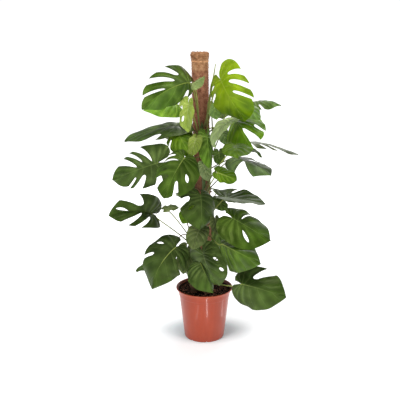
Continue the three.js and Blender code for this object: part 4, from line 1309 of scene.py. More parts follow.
@dataclass(frozen=True)
class LeafGreen:
    """The waxy skin of a blade: pale veins, mottled green, and a duller underside."""

    tone: Tone
    gloss: float = 0.26
    painted_sheen: Colour = (0.50, 0.57, 0.44)

    def material(self) -> bpy.types.Material:
        """Builds the material.

        Returns:
            The finished material.
        """
        greens = GREENS[self.tone]
        skin = Finish(self.tone.value)
        place = skin.surface()
        broad, fine = skin.noise(place, 14, 2).ease(0.25, 0.75), skin.noise(place, 160, 3)
        lane, out, vein, rib = (skin.value(key) for key in ("lane", "out", "vein", "rib"))
        edge, side, light, reach = (skin.value(key) for key in ("edge", "side", "light", "reach"))
        side_veins = abs((out * 16 + lane * 1.6 + broad * 0.8).part() - 0.5) * 2
        thread = side_veins.ease(0.72, 1.0) * lane.ease(0.05, 0.3)
        green = skin.mix(greens.deep, greens.light, (broad * 0.7 + fine * 0.3).ease(0.15, 0.95))
        # Towards the tip: partly the leaf's own colour, partly painted light, the base kept darker than the
        # lit tip.
        green = skin.mix(green, greens.tip, reach.ease(0.2, 0.75, 0.0, 0.8))
        green = skin.scaled(green, broad * 0.55 + 0.73)
        green = skin.mix(green, greens.deep, lane.ease(0.2, 1.0, 0.0, 0.6))
        vein_line = vein.ease(0.4, 1.6, 0.20, 0.0) + vein.ease(0.5, 6.0, 0.10, 0.0)
        vein_line = vein_line * out.ease(0.5, 1.0, 1.0, 0.2)
        rib_line = rib.ease(1.0, 3.0, 0.8, 0.0)
        for share in (thread * 0.07, vein_line, rib_line * 0.6, edge.ease(0.2, 1.2, 0.3, 0.0)):
            green = skin.mix(green, greens.vein, share)
        below = skin.mix(greens.under, greens.vein, vein_line + rib_line * 0.5)
        below = skin.mix(below, greens.deep, fine.ease(0.3, 0.8, 0.3, 0.0))
        # Scaled by the light factor: partly the leaf's own tone, partly painted light and shade.
        colour = skin.scaled(skin.mix(green, below, side), light)
        # Painted sheen: leaves whose light factor is above 1.6 are painted towards a pale grey-green
        # highlight.
        colour = skin.mix(colour, self.painted_sheen, light.ease(1.6, 3.6, 0.0, 0.6) * (broad * 0.6 + 0.4))
        relief = vein.ease(0.0, 2.0) * 0.6 + rib.ease(0.0, 3.5) * 0.8 - thread * 0.16 + fine * 0.10
        return skin.close(
            Base_Color=colour,
            Roughness=(broad * 0.12 + fine * 0.08 + self.gloss) + side * 0.25,
            Specular_IOR_Level=0.32,
            Specular_Tint=(0.80, 1.0, 0.30),
            Subsurface_Weight=0.08,
            Subsurface_Radius=(0.6, 1.0, 0.15),
            Subsurface_Scale=0.002,
            Normal=skin.bump(relief, 0.0011, 0.7),
        )


@dataclass(frozen=True)
class PetioleSkin:
    """The skin of petioles and midribs: brownish at the sheath, light green above."""

    name: str = "petiole_skin"

    def material(self) -> bpy.types.Material:
        """Builds the material.

        Returns:
            The finished material.
        """
        skin = Finish(self.name)
        along, mottle = skin.value("along"), skin.noise(skin.place(), 120, 3)
        streak = skin.noise(skin.place((1, 1, 0.08)), 400, 2)
        green = skin.mix((0.13, 0.155, 0.03), (0.31, 0.36, 0.07), along.ease(0.2, 0.9))
        green = skin.mix(green, (0.12, 0.12, 0.04), mottle.ease(0.45, 0.75, 0, 0.6))
        sheath = (along + mottle * 0.12).ease(0.08, 0.3, 0.75, 0.0)
        return skin.close(
            Base_Color=skin.mix(green, (0.14, 0.085, 0.035), sheath),
            Roughness=mottle * 0.2 + 0.44,
            Specular_IOR_Level=0.3,
            Normal=skin.bump(streak + mottle * 0.4, 0.0006, 0.5),
        )


# The stems


class StemSkin(IntEnum):
    """The materials of a stem's piece, in their order."""

    BARK = 0
    ROOT = 1
    SPEAR = 2
    YOUNG_ROOT = 3


BARK, ROOT, SPEAR, YOUNG_ROOT = StemSkin


@dataclass(frozen=True)
class Stem:
    """One climbing stem: its side of the pole in degrees, its turn, and its tip's height."""

    angle: float
    turn: float
    head: float


@dataclass(frozen=True)
class Strand:
    """A root, an unopened leaf or an old stalk.

    Attributes:
        stem: the stem that it belongs to.
        guides: its start, the two points that guide its curve, and its end.
        radii: at its start and end.
        finish: its skin.
        swell: how much thicker it is in its middle.
        steps: spans along it.
        sides: points round it.
    """

    stem: Cane
    guides: tuple[Point, Point, Point, Point]
    radii: Pair
    finish: StemSkin
    swell: float = 0.25
    steps: int = 18
    sides: int = 8

    def shape(self) -> Shape:
        """Gives the strand its form.

        Returns:
            A tapered tube that is thicker in its middle.
        """
        line = bezier(self.guides, self.steps)
        share = np.linspace(0, 1, len(line))
        radii = self.radii[0] + (self.radii[1] - self.radii[0]) * share
        radii = radii * (1 + self.swell * np.sin(np.pi * share))
        return tube(line, radii, self.sides, self.finish)


STRANDS = tuple(Strand(*row) for row in (
    (FRONT, ((5, -50, 912), (13, -52, 1008), (27, -44, 1062), (42, -42, 1163)), (2.8, 1.6), SPEAR, 1.0),
    (BACK, ((28, -14, 955), (38, -22, 859), (26, -34, 747), (12, -42, 607)), (2.4, 3.4), YOUNG_ROOT),
    (BACK, ((20, -34, 821), (18, -38, 748), (8, -40, 682), (4, -42, 598)), (1.6, 2.6), ROOT),
    (BACK, ((26, -8, 978), (34, -12, 922), (30, -14, 866), (32, -16, 809)), (1.6, 1.2), ROOT),
    (LEFT, ((-60, -44, 431), (-64, -60, 488), (-100, -66, 486), (-117, -60, 437)), (2.4, 1.4), ROOT),
    (LEFT, ((-68, -44, 522), (-76, -52, 507), (-51, -56, 500), (-68, -50, 468)), (2.4, 1.2), ROOT),
    (LEFT, ((-56, -44, 479), (-72, -54, 456), (-51, -56, 431), (-60, -50, 403)), (2.2, 1.2), ROOT),
))


@dataclass
class ClimbingStems:
    """Stems that climb the pole, with leaf scars, cork and clinging roots.

    Attributes:
        pole: what they climb.
        table: each stem's row.
        foot: the height of their lower ends, in the soil.
        foot_radius: of a stem at its foot.
        head_radius: of a stem at its tip.
        standoff: how far a stem stands off the pole.
        step: half the length between two leaf scars.
        turn_length: the height in which a stem makes its turn round the pole.
        swelling: how much thicker a stem is at a node.
        scar_height: how far a leaf scar stands up.
        tip_radii: at the foot and the end of its soft tip.
        root_radii: of a clinging root, where it starts and ends.
        root_reach: how far it is from the pole's middle at its start, a quarter along and at its end.
        sides: points round a stem.
        stub_turns: where old stalks stand round a stem's foot, in degrees from its own side.
    """

    pole: "CoirPole"
    table: dict[Cane, Stem] = field(
        default_factory=lambda: {
            FRONT: Stem(-75, -10, 905), LEFT: Stem(-150, 12, 760), BACK: Stem(65, 20, 850)
        }
    )
    foot: float = 140.0
    foot_radius: float = 10.0
    head_radius: float = 7.0
    standoff: float = 1.5
    step: float = 45.0
    turn_length: float = 700.0
    swelling: float = 0.9
    scar_height: float = 0.7
    tip_radii: Pair = (4.6, 1.8)
    root_radii: Pair = (2.3, 0.8)
    root_reach: Point = (44.0, 38.5, 34.2)
    sides: int = 18
    stub_turns: tuple[float, ...] = (-62, -34, 4, 30, 58)

    def centre(self, cane: Cane, height: Any) -> np.ndarray:
        """Finds the stem's middle.

        Args:
            cane: the stem.
            height: one height or several.

        Returns:
            A point for each height.
        """
        row = self.table[cane]
        heights = np.asarray(height, float)
        turn = np.radians(row.angle + row.turn * (heights - SOIL_LEVEL) / self.turn_length)
        reach = self.pole.radius + self.pole.ridge + self.foot_radius + self.standoff
        return self.pole.centre(heights) + ring(turn, reach)

    def _body(self, cane: Cane) -> Shape:
        """Builds one stem with a swelling and a scar at each node.

        Args:
            cane: the stem.

        Returns:
            The stem, with the value "scar" where leaves have grown.
        """
        head = self.table[cane].head
        heights = np.concatenate([np.arange(self.foot, head, 4.0), [head, head + 14, head + 30]])
        share = np.clip((heights - self.foot) / (head - self.foot), 0, 1)
        phase = ((heights - self.foot) / (2 * self.step)) % 1.0
        swell, scar = bell(phase, 0.5, 0.12), bell(phase, 0.54, 0.02)
        radii = self.foot_radius + (self.head_radius - self.foot_radius) * share - self.swelling
        radii = radii + swell * self.swelling + scar * self.scar_height
        radii[-2:] = self.tip_radii
        shape = tube(self.centre(cane, heights), radii, self.sides)
        shape.values["scar"] = np.repeat(scar, self.sides)
        return shape

    def _roots(self, cane: Cane, draw: np.random.Generator) -> list[Shape]:
        """Grows short roots that leave the stem and cling to the pole.

        Args:
            cane: the stem.
            draw: where random sizes come from.

        Returns:
            The roots.
        """
        roots = []
        t = np.linspace(0, 1, 12)
        for height in np.arange(SOIL_LEVEL + 40, self.table[cane].head - 60, 2 * self.step / 1.5):
            way = self.centre(cane, height) - self.pole.centre(height)
            sign = draw.choice([-1, 1])
            turn = math.atan2(way[1], way[0]) + sign * t * draw.uniform(0.9, 1.5)
            reach = np.interp(t, [0, 0.25, 1], self.root_reach)
            drop = height - t**1.3 * draw.uniform(20, 70)
            line = self.pole.centre(drop) + ring(turn, reach)
            roots.append(tube(line, np.interp(t, [0, 1], self.root_radii), 7, ROOT))
        return roots

    def _stubs(self, cane: Cane, draw: np.random.Generator) -> list[Shape]:
        """Stands brown stubs of old leaf stalks round the stem's foot.

        Args:
            cane: the stem.
            draw: where random sizes come from.

        Returns:
            The stubs.
        """
        stubs = []
        for turn in np.radians(self.table[cane].angle + np.array(self.stub_turns)):
            way = ring(turn)
            start = self.centre(cane, SOIL_LEVEL - 8) + way * 9
            tall = draw.uniform(34, 72)
            lean = way * draw.uniform(10, 26)
            steps = ((0, 0), (0, 0.4), (0.4, 0.7), (1, 1))
            guides = tuple(start + lean * out + [0, 0, tall * up] for out, up in steps)
            radii = (draw.uniform(4.2, 5.6), draw.uniform(0.9, 2.2))
            stubs.append(Strand(cane, guides, radii, ROOT).shape())
        return stubs

    def build(self) -> None:
        """Builds every stem in its CAD node's place."""
        young = RootSkin("young_root", (0.16, 0.17, 0.06), (0.38, 0.42, 0.19))
        skins = (StemBark(), RootSkin(), PetioleSkin("spear_skin"), young)
        finishes = [skin.material() for skin in skins]
        draw = np.random.default_rng(5)
        for cane in self.table:
            strands = [strand.shape() for strand in STRANDS if strand.stem is cane]
            shapes = [self._body(cane), *self._roots(cane, draw), *self._stubs(cane, draw), *strands]
            set_up(f"{cane.value}_grown", shapes, finishes, "stem_green", cane.value)


@dataclass(frozen=True)
class StemBark:
    """Green bark with corky rings at the leaf scars."""

    def material(self) -> bpy.types.Material:
        """Builds the material.

        Returns:
            The finished material.
        """
        skin = Finish("stem_bark")
        broad, fine = skin.noise(skin.place(), 45, 3), skin.noise(skin.place((1, 1, 0.25)), 500, 2)
        cork = (skin.value("scar") + fine * 0.4).ease(0.4, 1.0)
        colour = skin.mix((0.05, 0.10, 0.02), (0.11, 0.17, 0.04), broad)
        colour = skin.mix(colour, (0.13, 0.085, 0.04), cork)
        colour = skin.mix(colour, (0.10, 0.06, 0.03), skin.value("along").ease(0.0, 0.25, 0.85, 0.0))
        return skin.close(
            Base_Color=colour,
            Roughness=fine * 0.3 + 0.45,
            Normal=skin.bump(fine + broad, 0.0012, 0.6),
        )


@dataclass(frozen=True)
class RootSkin:
    """Roots: dry and brown, or young and pale."""

    name: str = "root_skin"
    dark: Colour = (0.07, 0.035, 0.018)
    light: Colour = (0.24, 0.14, 0.075)

    def material(self) -> bpy.types.Material:
        """Builds the material.

        Returns:
            The finished material.
        """
        skin = Finish(self.name)
        grain = skin.noise(skin.place(), 300, 3)
        colour = skin.mix(self.dark, self.light, grain)
        return skin.close(Base_Color=colour, Roughness=0.8, Normal=skin.bump(grain, 0.0008, 0.8))


# The coir pole


@dataclass
class CoirPole:
    """A coir sleeve on a wooden stake, wound with coir twine and frayed at the top.

    Attributes:
        radius: of the sleeve.
        ridge: how deep its windings lie.
        top: the height of the sleeve's top.
        bottom: the height of its lower end, in the soil.
        foot_x: where its middle stands at the floor's height.
        head_x: where its middle is at the top.
        bore: the radius of the hole for the stake.
        flare: how much wider the top is.
        flare_height: the depth of that wider part.
        lump: the size of its lumps of matted fibre.
        groove: how deep the twine presses into it.
        neck_depth: how far the tie under the top draws it in.
        neck: how far below the top that is, and how far it reaches.
        winding: the height of one turn of twine.
        twine_foot: where the twine starts.
        fibre_foot: where the loose fibres start.
        tie_depth: how far below the top the pale twine is tied round.
        tie_height: how much of the pole that tie takes.
        sides: points round the sleeve.
        step: the height between its rings of points.
    """

    radius: float = 33.0
    ridge: float = 1.2
    top: float = 1203.0
    bottom: float = 120.0
    foot_x: float = 3.5
    head_x: float = -19.5
    bore: float = 14.3
    flare: float = 1.0
    flare_height: float = 18.0
    lump: float = 0.55
    groove: float = 0.8
    neck_depth: float = 1.2
    neck: Pair = (26.0, 7.0)
    winding: float = 11.5
    twine_foot: float = 214.0
    fibre_foot: float = 212.0
    tie_depth: float = 35.0
    tie_height: float = 6.0
    sides: int = 112
    step: float = 3.0

    def centre(self, height: Any) -> np.ndarray:
        """Finds the pole's middle.

        Args:
            height: one height or several.

        Returns:
            A point for each height.
        """
        heights = np.asarray(height, float)
        x = self.foot_x + (self.head_x - self.foot_x) * heights / self.top
        return np.stack([x, np.zeros_like(heights), heights], axis=-1)

    def _sleeve(self) -> Shape:
        """Builds the sleeve as one closed skin, lumpy with fibre.

        Returns:
            The sleeve.
        """
        top, edge = self.top, self.radius
        outer = [(edge, z) for z in np.arange(self.bottom, top - 6, self.step)]
        lip = [(edge, top - 5), (edge - 1.5, top - 1.5), (edge - 5, top)]
        inner = [(self.bore + 3, top - 0.5), (self.bore, top - 3), (self.bore, self.bottom)]
        profile = np.array(outer + lip + inner)
        turns = even_turns(self.sides)
        lumps = np.random.default_rng(11).normal(size=(len(profile), self.sides))
        for _ in range(2):
            lumps = (lumps + np.roll(lumps, 1, 0) + np.roll(lumps, 1, 1) + np.roll(lumps, -1, 1)) / 2.4
        lumps = np.clip(lumps, -2, 2) * self.lump
        heights = profile[:, 1][:, None]
        grooves = -np.abs(np.sin(np.pi * (heights / self.winding + turns / (2 * np.pi)))) ** 6
        windings = grooves * self.groove
        swell = self.flare * np.clip(1 - (top - heights) / self.flare_height, 0, 1) ** 0.7
        neck = -self.neck_depth * bell(top - heights, *self.neck)
        outside = (profile[:, 0] > self.bore + 4)[:, None]
        radius = profile[:, 0][:, None] + np.where(outside, lumps + windings + swell + neck - 0.4, 0)
        points = self.centre(profile[:, 1])[:, None, :] + ring(turns, radius)
        faces = ring_faces(len(profile), self.sides, closed=False)
        last = (len(profile) - 1) * self.sides
        for i in range(self.sides):
            after = (i + 1) % self.sides
            faces.append((last + i, last + after, after, i))
        return Shape(points.reshape(-1, 3), faces)

    def _fibre_tree(self) -> Growth:
        """Scatters fibres over a surface, each a thin bowed thread.

        Returns:
            The tree.
        """
        tree = Growth("fibre_coat")
        density, length, thick, stand = tree.sizes("Density", "Length", "Thickness", "Stand")
        middle = tree.make("ShaderNodeCombineXYZ", {0: length * 0.5, 1: length * 0.12, 2: stand})
        end = tree.make("ShaderNodeCombineXYZ", {0: length, 1: 0.0, 2: stand * -0.2})
        values = {"Resolution": 4, "Start": (0, 0, 0), "Middle": middle, "End": end}
        thread = tree.cord(tree.make("GeometryNodeCurveQuadraticBezier", values), 3, thick)
        turn = tree.random((-0.35, -0.35, -3.2), (0.35, 0.35, 3.2), 9)
        tree.close(tree.scatter(thread, density, 4, turn, tree.random(0.5, 1.3, 3), stands=True))
        return tree

    def _twine_tree(self) -> Growth:
        """Winds twine up a leaning pole: a spiral that is sheared, roughened and made round.

        Returns:
            The tree.
        """
        tree = Growth("twine_winding")
        turns, radius, height, lean, thick = tree.sizes("Turns", "Radius", "Height", "Lean", "Thickness")
        values = {"Resolution": 40, "Rotations": turns, "Height": height}
        values |= {"Start Radius": radius, "End Radius": radius}
        spiral = tree.make("GeometryNodeCurveSpiral", values)
        spot = tree.make("GeometryNodeInputPosition")
        along = tree.make("ShaderNodeSeparateXYZ", {0: spot}, 2)
        wobble = tree.make("ShaderNodeTexNoise", {"Vector": spot, "Scale": 55.0, "Detail": 2.0})
        shift = tree.make("ShaderNodeCombineXYZ", {0: along * lean, 1: 0.0, 2: (wobble - 0.5) * 0.004})
        moved = tree.make("GeometryNodeSetPosition", {"Geometry": spiral, "Offset": shift})
        tree.close(tree.cord(moved, 6, thick))
        return tree

    def _wind(self, tree: Growth, name: str, foot: float, sizes: dict[str, Any]) -> None:
        """Winds twine round the pole.

        Args:
            tree: the winding's tree.
            name: the piece's name.
            foot: the height where it starts.
            sizes: its turns, height, thickness and finish.
        """
        lean = (self.head_x - self.foot_x) / self.top
        sizes = {"Radius": (self.radius + 0.2) * MM, "Lean": lean, **sizes}
        piece = tree.grow(name, bpy.data.meshes.new("twine_seed"), sizes)
        piece.data.transform(Matrix.Translation(Vector(self.centre(foot) * MM)))
        dress(piece, "coir_fibre")

    def _host(self, rows: Sequence[Pair]) -> bpy.types.Mesh:
        """An open skin round the pole, through rows of radius and height, for fibres to grow on."""
        turns = even_turns(24)
        return open_skin("fibre_host", [self.centre(height) + ring(turns, radius) for radius, height in rows])

    def build(self) -> None:
        """Builds the sleeve, its twine and its fibres, and finishes the stake."""
        glows = {"coir_mat": 1.0, "coir_twine": 1.15, "tie_twine": 1.35, "coir_crown": 1.25}
        coir, twine, tie, crown = (CoirFibre(name, self.top, glow).material() for name, glow in glows.items())
        set_up("coir_sleeve", [self._sleeve()], [coir], "coir_fibre", "pole_coir")
        height = (self.top - 30 - self.twine_foot) * MM
        tree = self._twine_tree()
        self._wind(tree, "coir_twine", self.twine_foot, {
            "Turns": height / (self.winding * MM), "Height": height, "Thickness": 0.0008, "Finish": twine,
        })
        self._wind(tree, "coir_tie", self.top - self.tie_depth, {
            "Turns": 3.0, "Height": self.tie_height * MM, "Thickness": 0.0014, "Finish": tie,
        })
        fibres = self._fibre_tree()
        band = [(self.radius + 0.3, height) for height in np.arange(self.fibre_foot, self.top - 2, 12)]
        dress(fibres.grow("coir_fibres", self._host(band), {
            "Density": 24000.0, "Length": 0.017, "Thickness": 0.00022, "Stand": 0.0034, "Finish": coir,
        }), "coir_fibre")
        lip = ((self.radius + 0.3, 20), (self.radius + 0.9, 10), (self.radius + 0.4, 4))
        lip = [(radius, self.top - depth) for radius, depth in (*lip, (self.radius - 2, 0.5), (18, 0.5))]
        dress(fibres.grow("coir_fray", self._host(lip), {
            "Density": 150000.0, "Length": 0.010, "Thickness": 0.0004, "Stand": 0.0035, "Finish": crown,
        }), "coir_fibre")
        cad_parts["pole_stake"].material_slots[0].material = StakeWood().material()


@dataclass(frozen=True)
class CoirFibre:
    """Coir: golden and dry at the frayed top, reddish brown and matted below.

    Attributes:
        name: the material's name.
        top: the pole's height.
        glow: how much paler it is than the sleeve.
    """

    name: str
    top: float
    glow: float

    def material(self) -> bpy.types.Material:
        """Builds the material.

        Returns:
            The finished material.
        """
        skin = Finish(self.name)
        place = skin.place()
        height = skin.height(place)
        clumps, strands = skin.noise(place, 60, 4, 0.6), skin.noise(skin.place((1, 1, 5)), 210, 4, 0.7)
        tuft = strands * 0.6 + clumps * 0.5
        brown = skin.ramp(
            tuft, [(0.28, (0.06, 0.021, 0.012)), (0.48, (0.27, 0.100, 0.055)), (0.70, (0.62, 0.30, 0.18))]
        )
        gold = skin.ramp(
            tuft, [(0.28, (0.14, 0.052, 0.022)), (0.50, (0.41, 0.20, 0.09)), (0.74, (0.76, 0.47, 0.26))]
        )
        dry = (height * 1000 + clumps * 60).ease(self.top - 70, self.top - 12)
        colour = skin.mix(brown, gold, dry)
        colour = skin.mix(colour, (0.32, 0.17, 0.095), height.ease(0.55, 0.85, 0.6, 0.0))
        damp = skin.noise(place, 9, 2).ease(0.45, 0.7)
        colour = skin.mix(colour, (0.10, 0.035, 0.028), damp * 0.35)
        return skin.close(
            Base_Color=skin.scaled(colour, self.glow),
            Roughness=0.92,
            Specular_IOR_Level=0.25,
            Normal=skin.bump(strands * 0.7 + clumps * 0.5, 0.003, 0.8),
        )


@dataclass(frozen=True)
class StakeWood:
    """Pale sawn wood with grain along the side."""

    def material(self) -> bpy.types.Material:
        """Builds the material.

        Returns:
            The finished material.
        """
        skin = Finish("stake_wood")
        grain = skin.noise(skin.place((1, 1, 0.05)), 240, 4, 0.6)
        colour = skin.mix((0.20, 0.11, 0.05), (0.42, 0.27, 0.13), grain)
        return skin.close(Base_Color=colour, Roughness=0.8, Normal=skin.bump(grain, 0.0008, 0.6))


# Soil and pot


@dataclass
class SoilBed:
    """Dark peat with crumbs and slivers of bark, a little below the pot's lip.

    Attributes:
        bump: the height of its broad lumps.
        grain: how rough its top is.
        heap: how much higher it lies round the pole.
        heap_radius: how far that heap reaches.
        rim_radius: where it meets the pot's wall.
        foot_radius: of its underside.
        foot: the height of its underside.
        sides: points round it.
    """

    bump: float = 1.8
    grain: float = 1.8
    heap: float = 4.0
    heap_radius: float = 86.0
    rim_radius: float = 107.0
    foot_radius: float = 82.0
    foot: float = 4.5
    sides: int = 96

    def _surface(self, sides: int, radius: float, raised: Any) -> np.ndarray:
        """Lays a ring of points on the soil.

        Args:
            sides: how many points.
            radius: the ring's radius.
            raised: how far above the soil they lie, one number or one for each.

        Returns:
            The points.
        """
        points = ring(even_turns(sides), radius)
        x, y = points[:, 0], points[:, 1]
        lumps = np.sin(x / 17 + 0.4) * np.cos(y / 13) + np.sin((x + y) / 9) * 0.5
        heap = self.heap * np.maximum(0, 1 - np.hypot(x, y) / self.heap_radius)
        points[:, 2] = SOIL_LEVEL + self.bump * lumps + heap + raised
        return points

    def _mound(self) -> Shape:
        """Builds the soil with a crumbly, lumpy top.

        Returns:
            The soil's body.
        """
        draw = np.random.default_rng(3)
        turns = even_turns(self.sides)
        rows = [ring(turns, self.foot_radius, self.foot), ring(turns, self.foot_radius + 18, 150.0)]
        for radius in np.linspace(0.6, self.rim_radius, 34)[::-1]:
            crumbs = draw.normal(scale=self.grain if radius > 4 else 0.2, size=self.sides)
            crumbs = (crumbs + np.roll(crumbs, 1)) / 1.6
            rows.append(self._surface(self.sides, radius, crumbs - 0.6))
        return Shape(np.concatenate(rows), ring_faces(len(rows), self.sides))

    def _scatter_tree(self) -> Growth:
        """Drops crumbs or slivers on a surface, each turned and sized at random.

        Returns:
            The tree.
        """
        tree = Growth("crumb_scatter")
        density, size, long, flat = tree.sizes("Density", "Size", "Long", "Flat")
        ball = tree.make("GeometryNodeMeshIcoSphere", {"Radius": size, "Subdivisions": 1})
        spot = tree.make("GeometryNodeInputPosition")
        dents = tree.make("ShaderNodeTexNoise", {"Vector": spot, "Scale": 300.0})
        shift = tree.make("ShaderNodeVectorMath", {0: spot, 3: dents - 0.4}, operation="SCALE")
        lump = tree.make("GeometryNodeSetPosition", {"Geometry": ball, "Offset": shift})
        stretch = tree.make("ShaderNodeCombineXYZ", {0: long, 1: 1.0, 2: flat})
        shape = tree.make("GeometryNodeTransform", {"Geometry": lump, "Scale": stretch})
        turn = tree.random((-0.6, -0.6, -3.2), (0.6, 0.6, 3.2), 21)
        scale = tree.random(0.35, 1.25, 8)
        seed = tree.size("Seed", "Int")
        tree.close(tree.scatter(shape, density, seed, turn, scale, stands=False))
        return tree

    def build(self) -> None:
        """Builds the mound and scatters crumbs and bark on it."""
        peat = PeatSoil("peat", (0.003, 0.0015, 0.001), (0.33, 0.150, 0.098)).material()
        bark = PeatSoil("bark_sliver", (0.12, 0.06, 0.035), (0.50, 0.30, 0.19)).material()
        set_up("soil_mound", [self._mound()], [peat], "peat_soil", "soil")
        tree = self._scatter_tree()
        crumbs = {"Density": 70000.0, "Size": 0.0042, "Seed": 2, "Long": 1.2, "Flat": 0.8, "Finish": peat}
        slivers = {"Density": 6200.0, "Size": 0.0030, "Seed": 6, "Long": 2.6, "Flat": 0.5, "Finish": bark}
        for name, sizes in (("soil_crumbs", crumbs), ("bark_slivers", slivers)):
            rings = [self._surface(48, radius, -0.4) for radius in np.linspace(self.rim_radius - 2, 36, 12)]
            dress(tree.grow(name, open_skin("soil_host", rings), sizes), "peat_soil")


@dataclass(frozen=True)
class PeatSoil:
    """Loose dark matter, from one colour to another in crumbs."""

    name: str
    dark: Colour
    light: Colour

    def material(self) -> bpy.types.Material:
        """Builds the material.

        Returns:
            The finished material.
        """
        skin = Finish(self.name)
        place = skin.place()
        grit, lumps = skin.noise(place, 900, 3, 0.7), skin.noise(place, 140, 2)
        colour = skin.mix(self.dark, self.light, (grit * 0.35 + lumps * 0.8).ease(0.56, 0.72))
        relief = skin.bump(grit + lumps, 0.002, 0.9)
        return skin.close(Base_Color=colour, Roughness=0.95, Specular_IOR_Level=0.1, Normal=relief)


@dataclass
class NurseryPot:
    """An injection-moulded pot: turned lip, collar line, tapered wall and drained floor.

    Attributes:
        height: of the pot.
        lip_radius: the outer radius of the lip.
        lip_depth: how far the lip hangs over the wall.
        body_top: the wall's outer radius under the lip.
        collar: the height of the line round the wall.
        collar_step: how far the wall steps in below that line.
        base_radius: the wall's outer radius at the floor.
        wall: the wall's thickness.
        notches: how many drain notches it has.
        first_notch: where they start, as a share of the way from one to the next.
        notch: half the width of a drain notch, likewise.
        notch_height: of a drain notch.
        foot_height: how high the notched edge of the floor reaches.
        foot_width: how far in from the wall that edge reaches.
        sides: points round the pot.
    """

    height: float = 223.0
    lip_radius: float = 120.0
    lip_depth: float = 7.0
    body_top: float = 111.0
    collar: float = 188.0
    collar_step: float = 1.5
    base_radius: float = 86.0
    wall: float = 2.2
    notches: int = 8
    first_notch: float = 0.35
    notch: float = 0.06
    notch_height: float = 3.0
    foot_height: float = 4.2
    foot_width: float = 16.0
    sides: int = 192

    def _wall_radius(self, height: float) -> float:
        """Finds how wide the body is.

        Args:
            height: where on the wall.

        Returns:
            The wall's outer radius there.
        """
        share = min(height, self.height - self.lip_depth) / (self.height - self.lip_depth)
        step = self.collar_step if height < self.collar else 0.0
        return self.base_radius + (self.body_top - self.base_radius) * share - step

    def _rows(self, low: float, high: float, count: int, out: float = 0.0) -> list[Pair]:
        """Points of the wall's section at even heights."""
        return [(self._wall_radius(h) + out, h) for h in np.linspace(low, high, count)]

    def _profile(self) -> list[Pair]:
        """Draws the pot's section from the floor's edge outwards, over the lip and back.

        Returns:
            Pairs of radius and height.
        """
        lip, top, under, collar = self.lip_radius, self.height, self.height - self.lip_depth, self.collar
        foot, ledge, neck = self._wall_radius(0), self._wall_radius(collar), self._wall_radius(under)
        rows = [(foot - 12, 2.0), (foot - 10, 0.6), (foot - 9, 0.0), (foot - 4, 0.0)]
        rows += [(foot - 4 + 4 * math.sin(a), 4 - 4 * math.cos(a)) for a in np.radians([20, 40, 60, 80])]
        rows += self._rows(6, collar - 2.5, 30)
        rows += [(self._wall_radius(collar - 1.5), collar - 1.5), (ledge - 0.8, collar - 0.7)]
        rows += [(ledge - 0.1, collar + 0.1), (self._wall_radius(collar + 1), collar + 1)]
        rows += self._rows(collar + 4, under - 4, 5)
        rows += [(neck + 0.3, under - 2), (neck + 1.6, under - 0.4), (lip - 4, under + 0.4)]
        rows += [(lip - 1.8, under + 0.9), (lip - 0.6, under + 2.0), (lip, under + 3.6)]
        rows += [(lip - 0.1, top - 1.9), (lip - 0.7, top - 0.6), (lip - 1.8, top)]
        rows += [(lip - 2.7, top - 0.4), (lip - 3.3, top - 1.4)]
        inner = neck - self.wall
        rows += [(inner + 3.6, under + 2.2), (inner + 1.6, under + 1.2), (inner + 0.3, under - 1.5)]
        rows += self._rows(collar, 6, 6, -self.wall - 0.4)
        return [*rows, (foot - 6, 4.4)]

    def _shape(self) -> Shape:
        """Turns the section round the pot's middle and cuts drain notches at its foot.

        Returns:
            The pot.
        """
        turns = even_turns(self.sides)
        across = np.abs(((turns / (2 * np.pi) * self.notches + self.first_notch) % 1.0) - 0.5)
        notches = np.clip(1 - (across / self.notch) ** 4, 0, 1) * self.notch_height
        rings = []
        for radius, height in self._profile():
            cut = height < self.foot_height and radius > self.base_radius - self.foot_width
            rings.append(ring(turns, radius, height + notches * cut))
        return Shape(np.concatenate(rings), ring_faces(len(rings), self.sides))

    def build(self) -> None:
        """Builds the pot in its CAD node's place."""
        taper = (self.body_top - self.base_radius) / (self.height - self.lip_depth)
        plastic = TerracottaPlastic(self.base_radius, taper).material()
        set_up("nursery_pot", [self._shape()], [plastic], "terracotta_plastic", "pot")


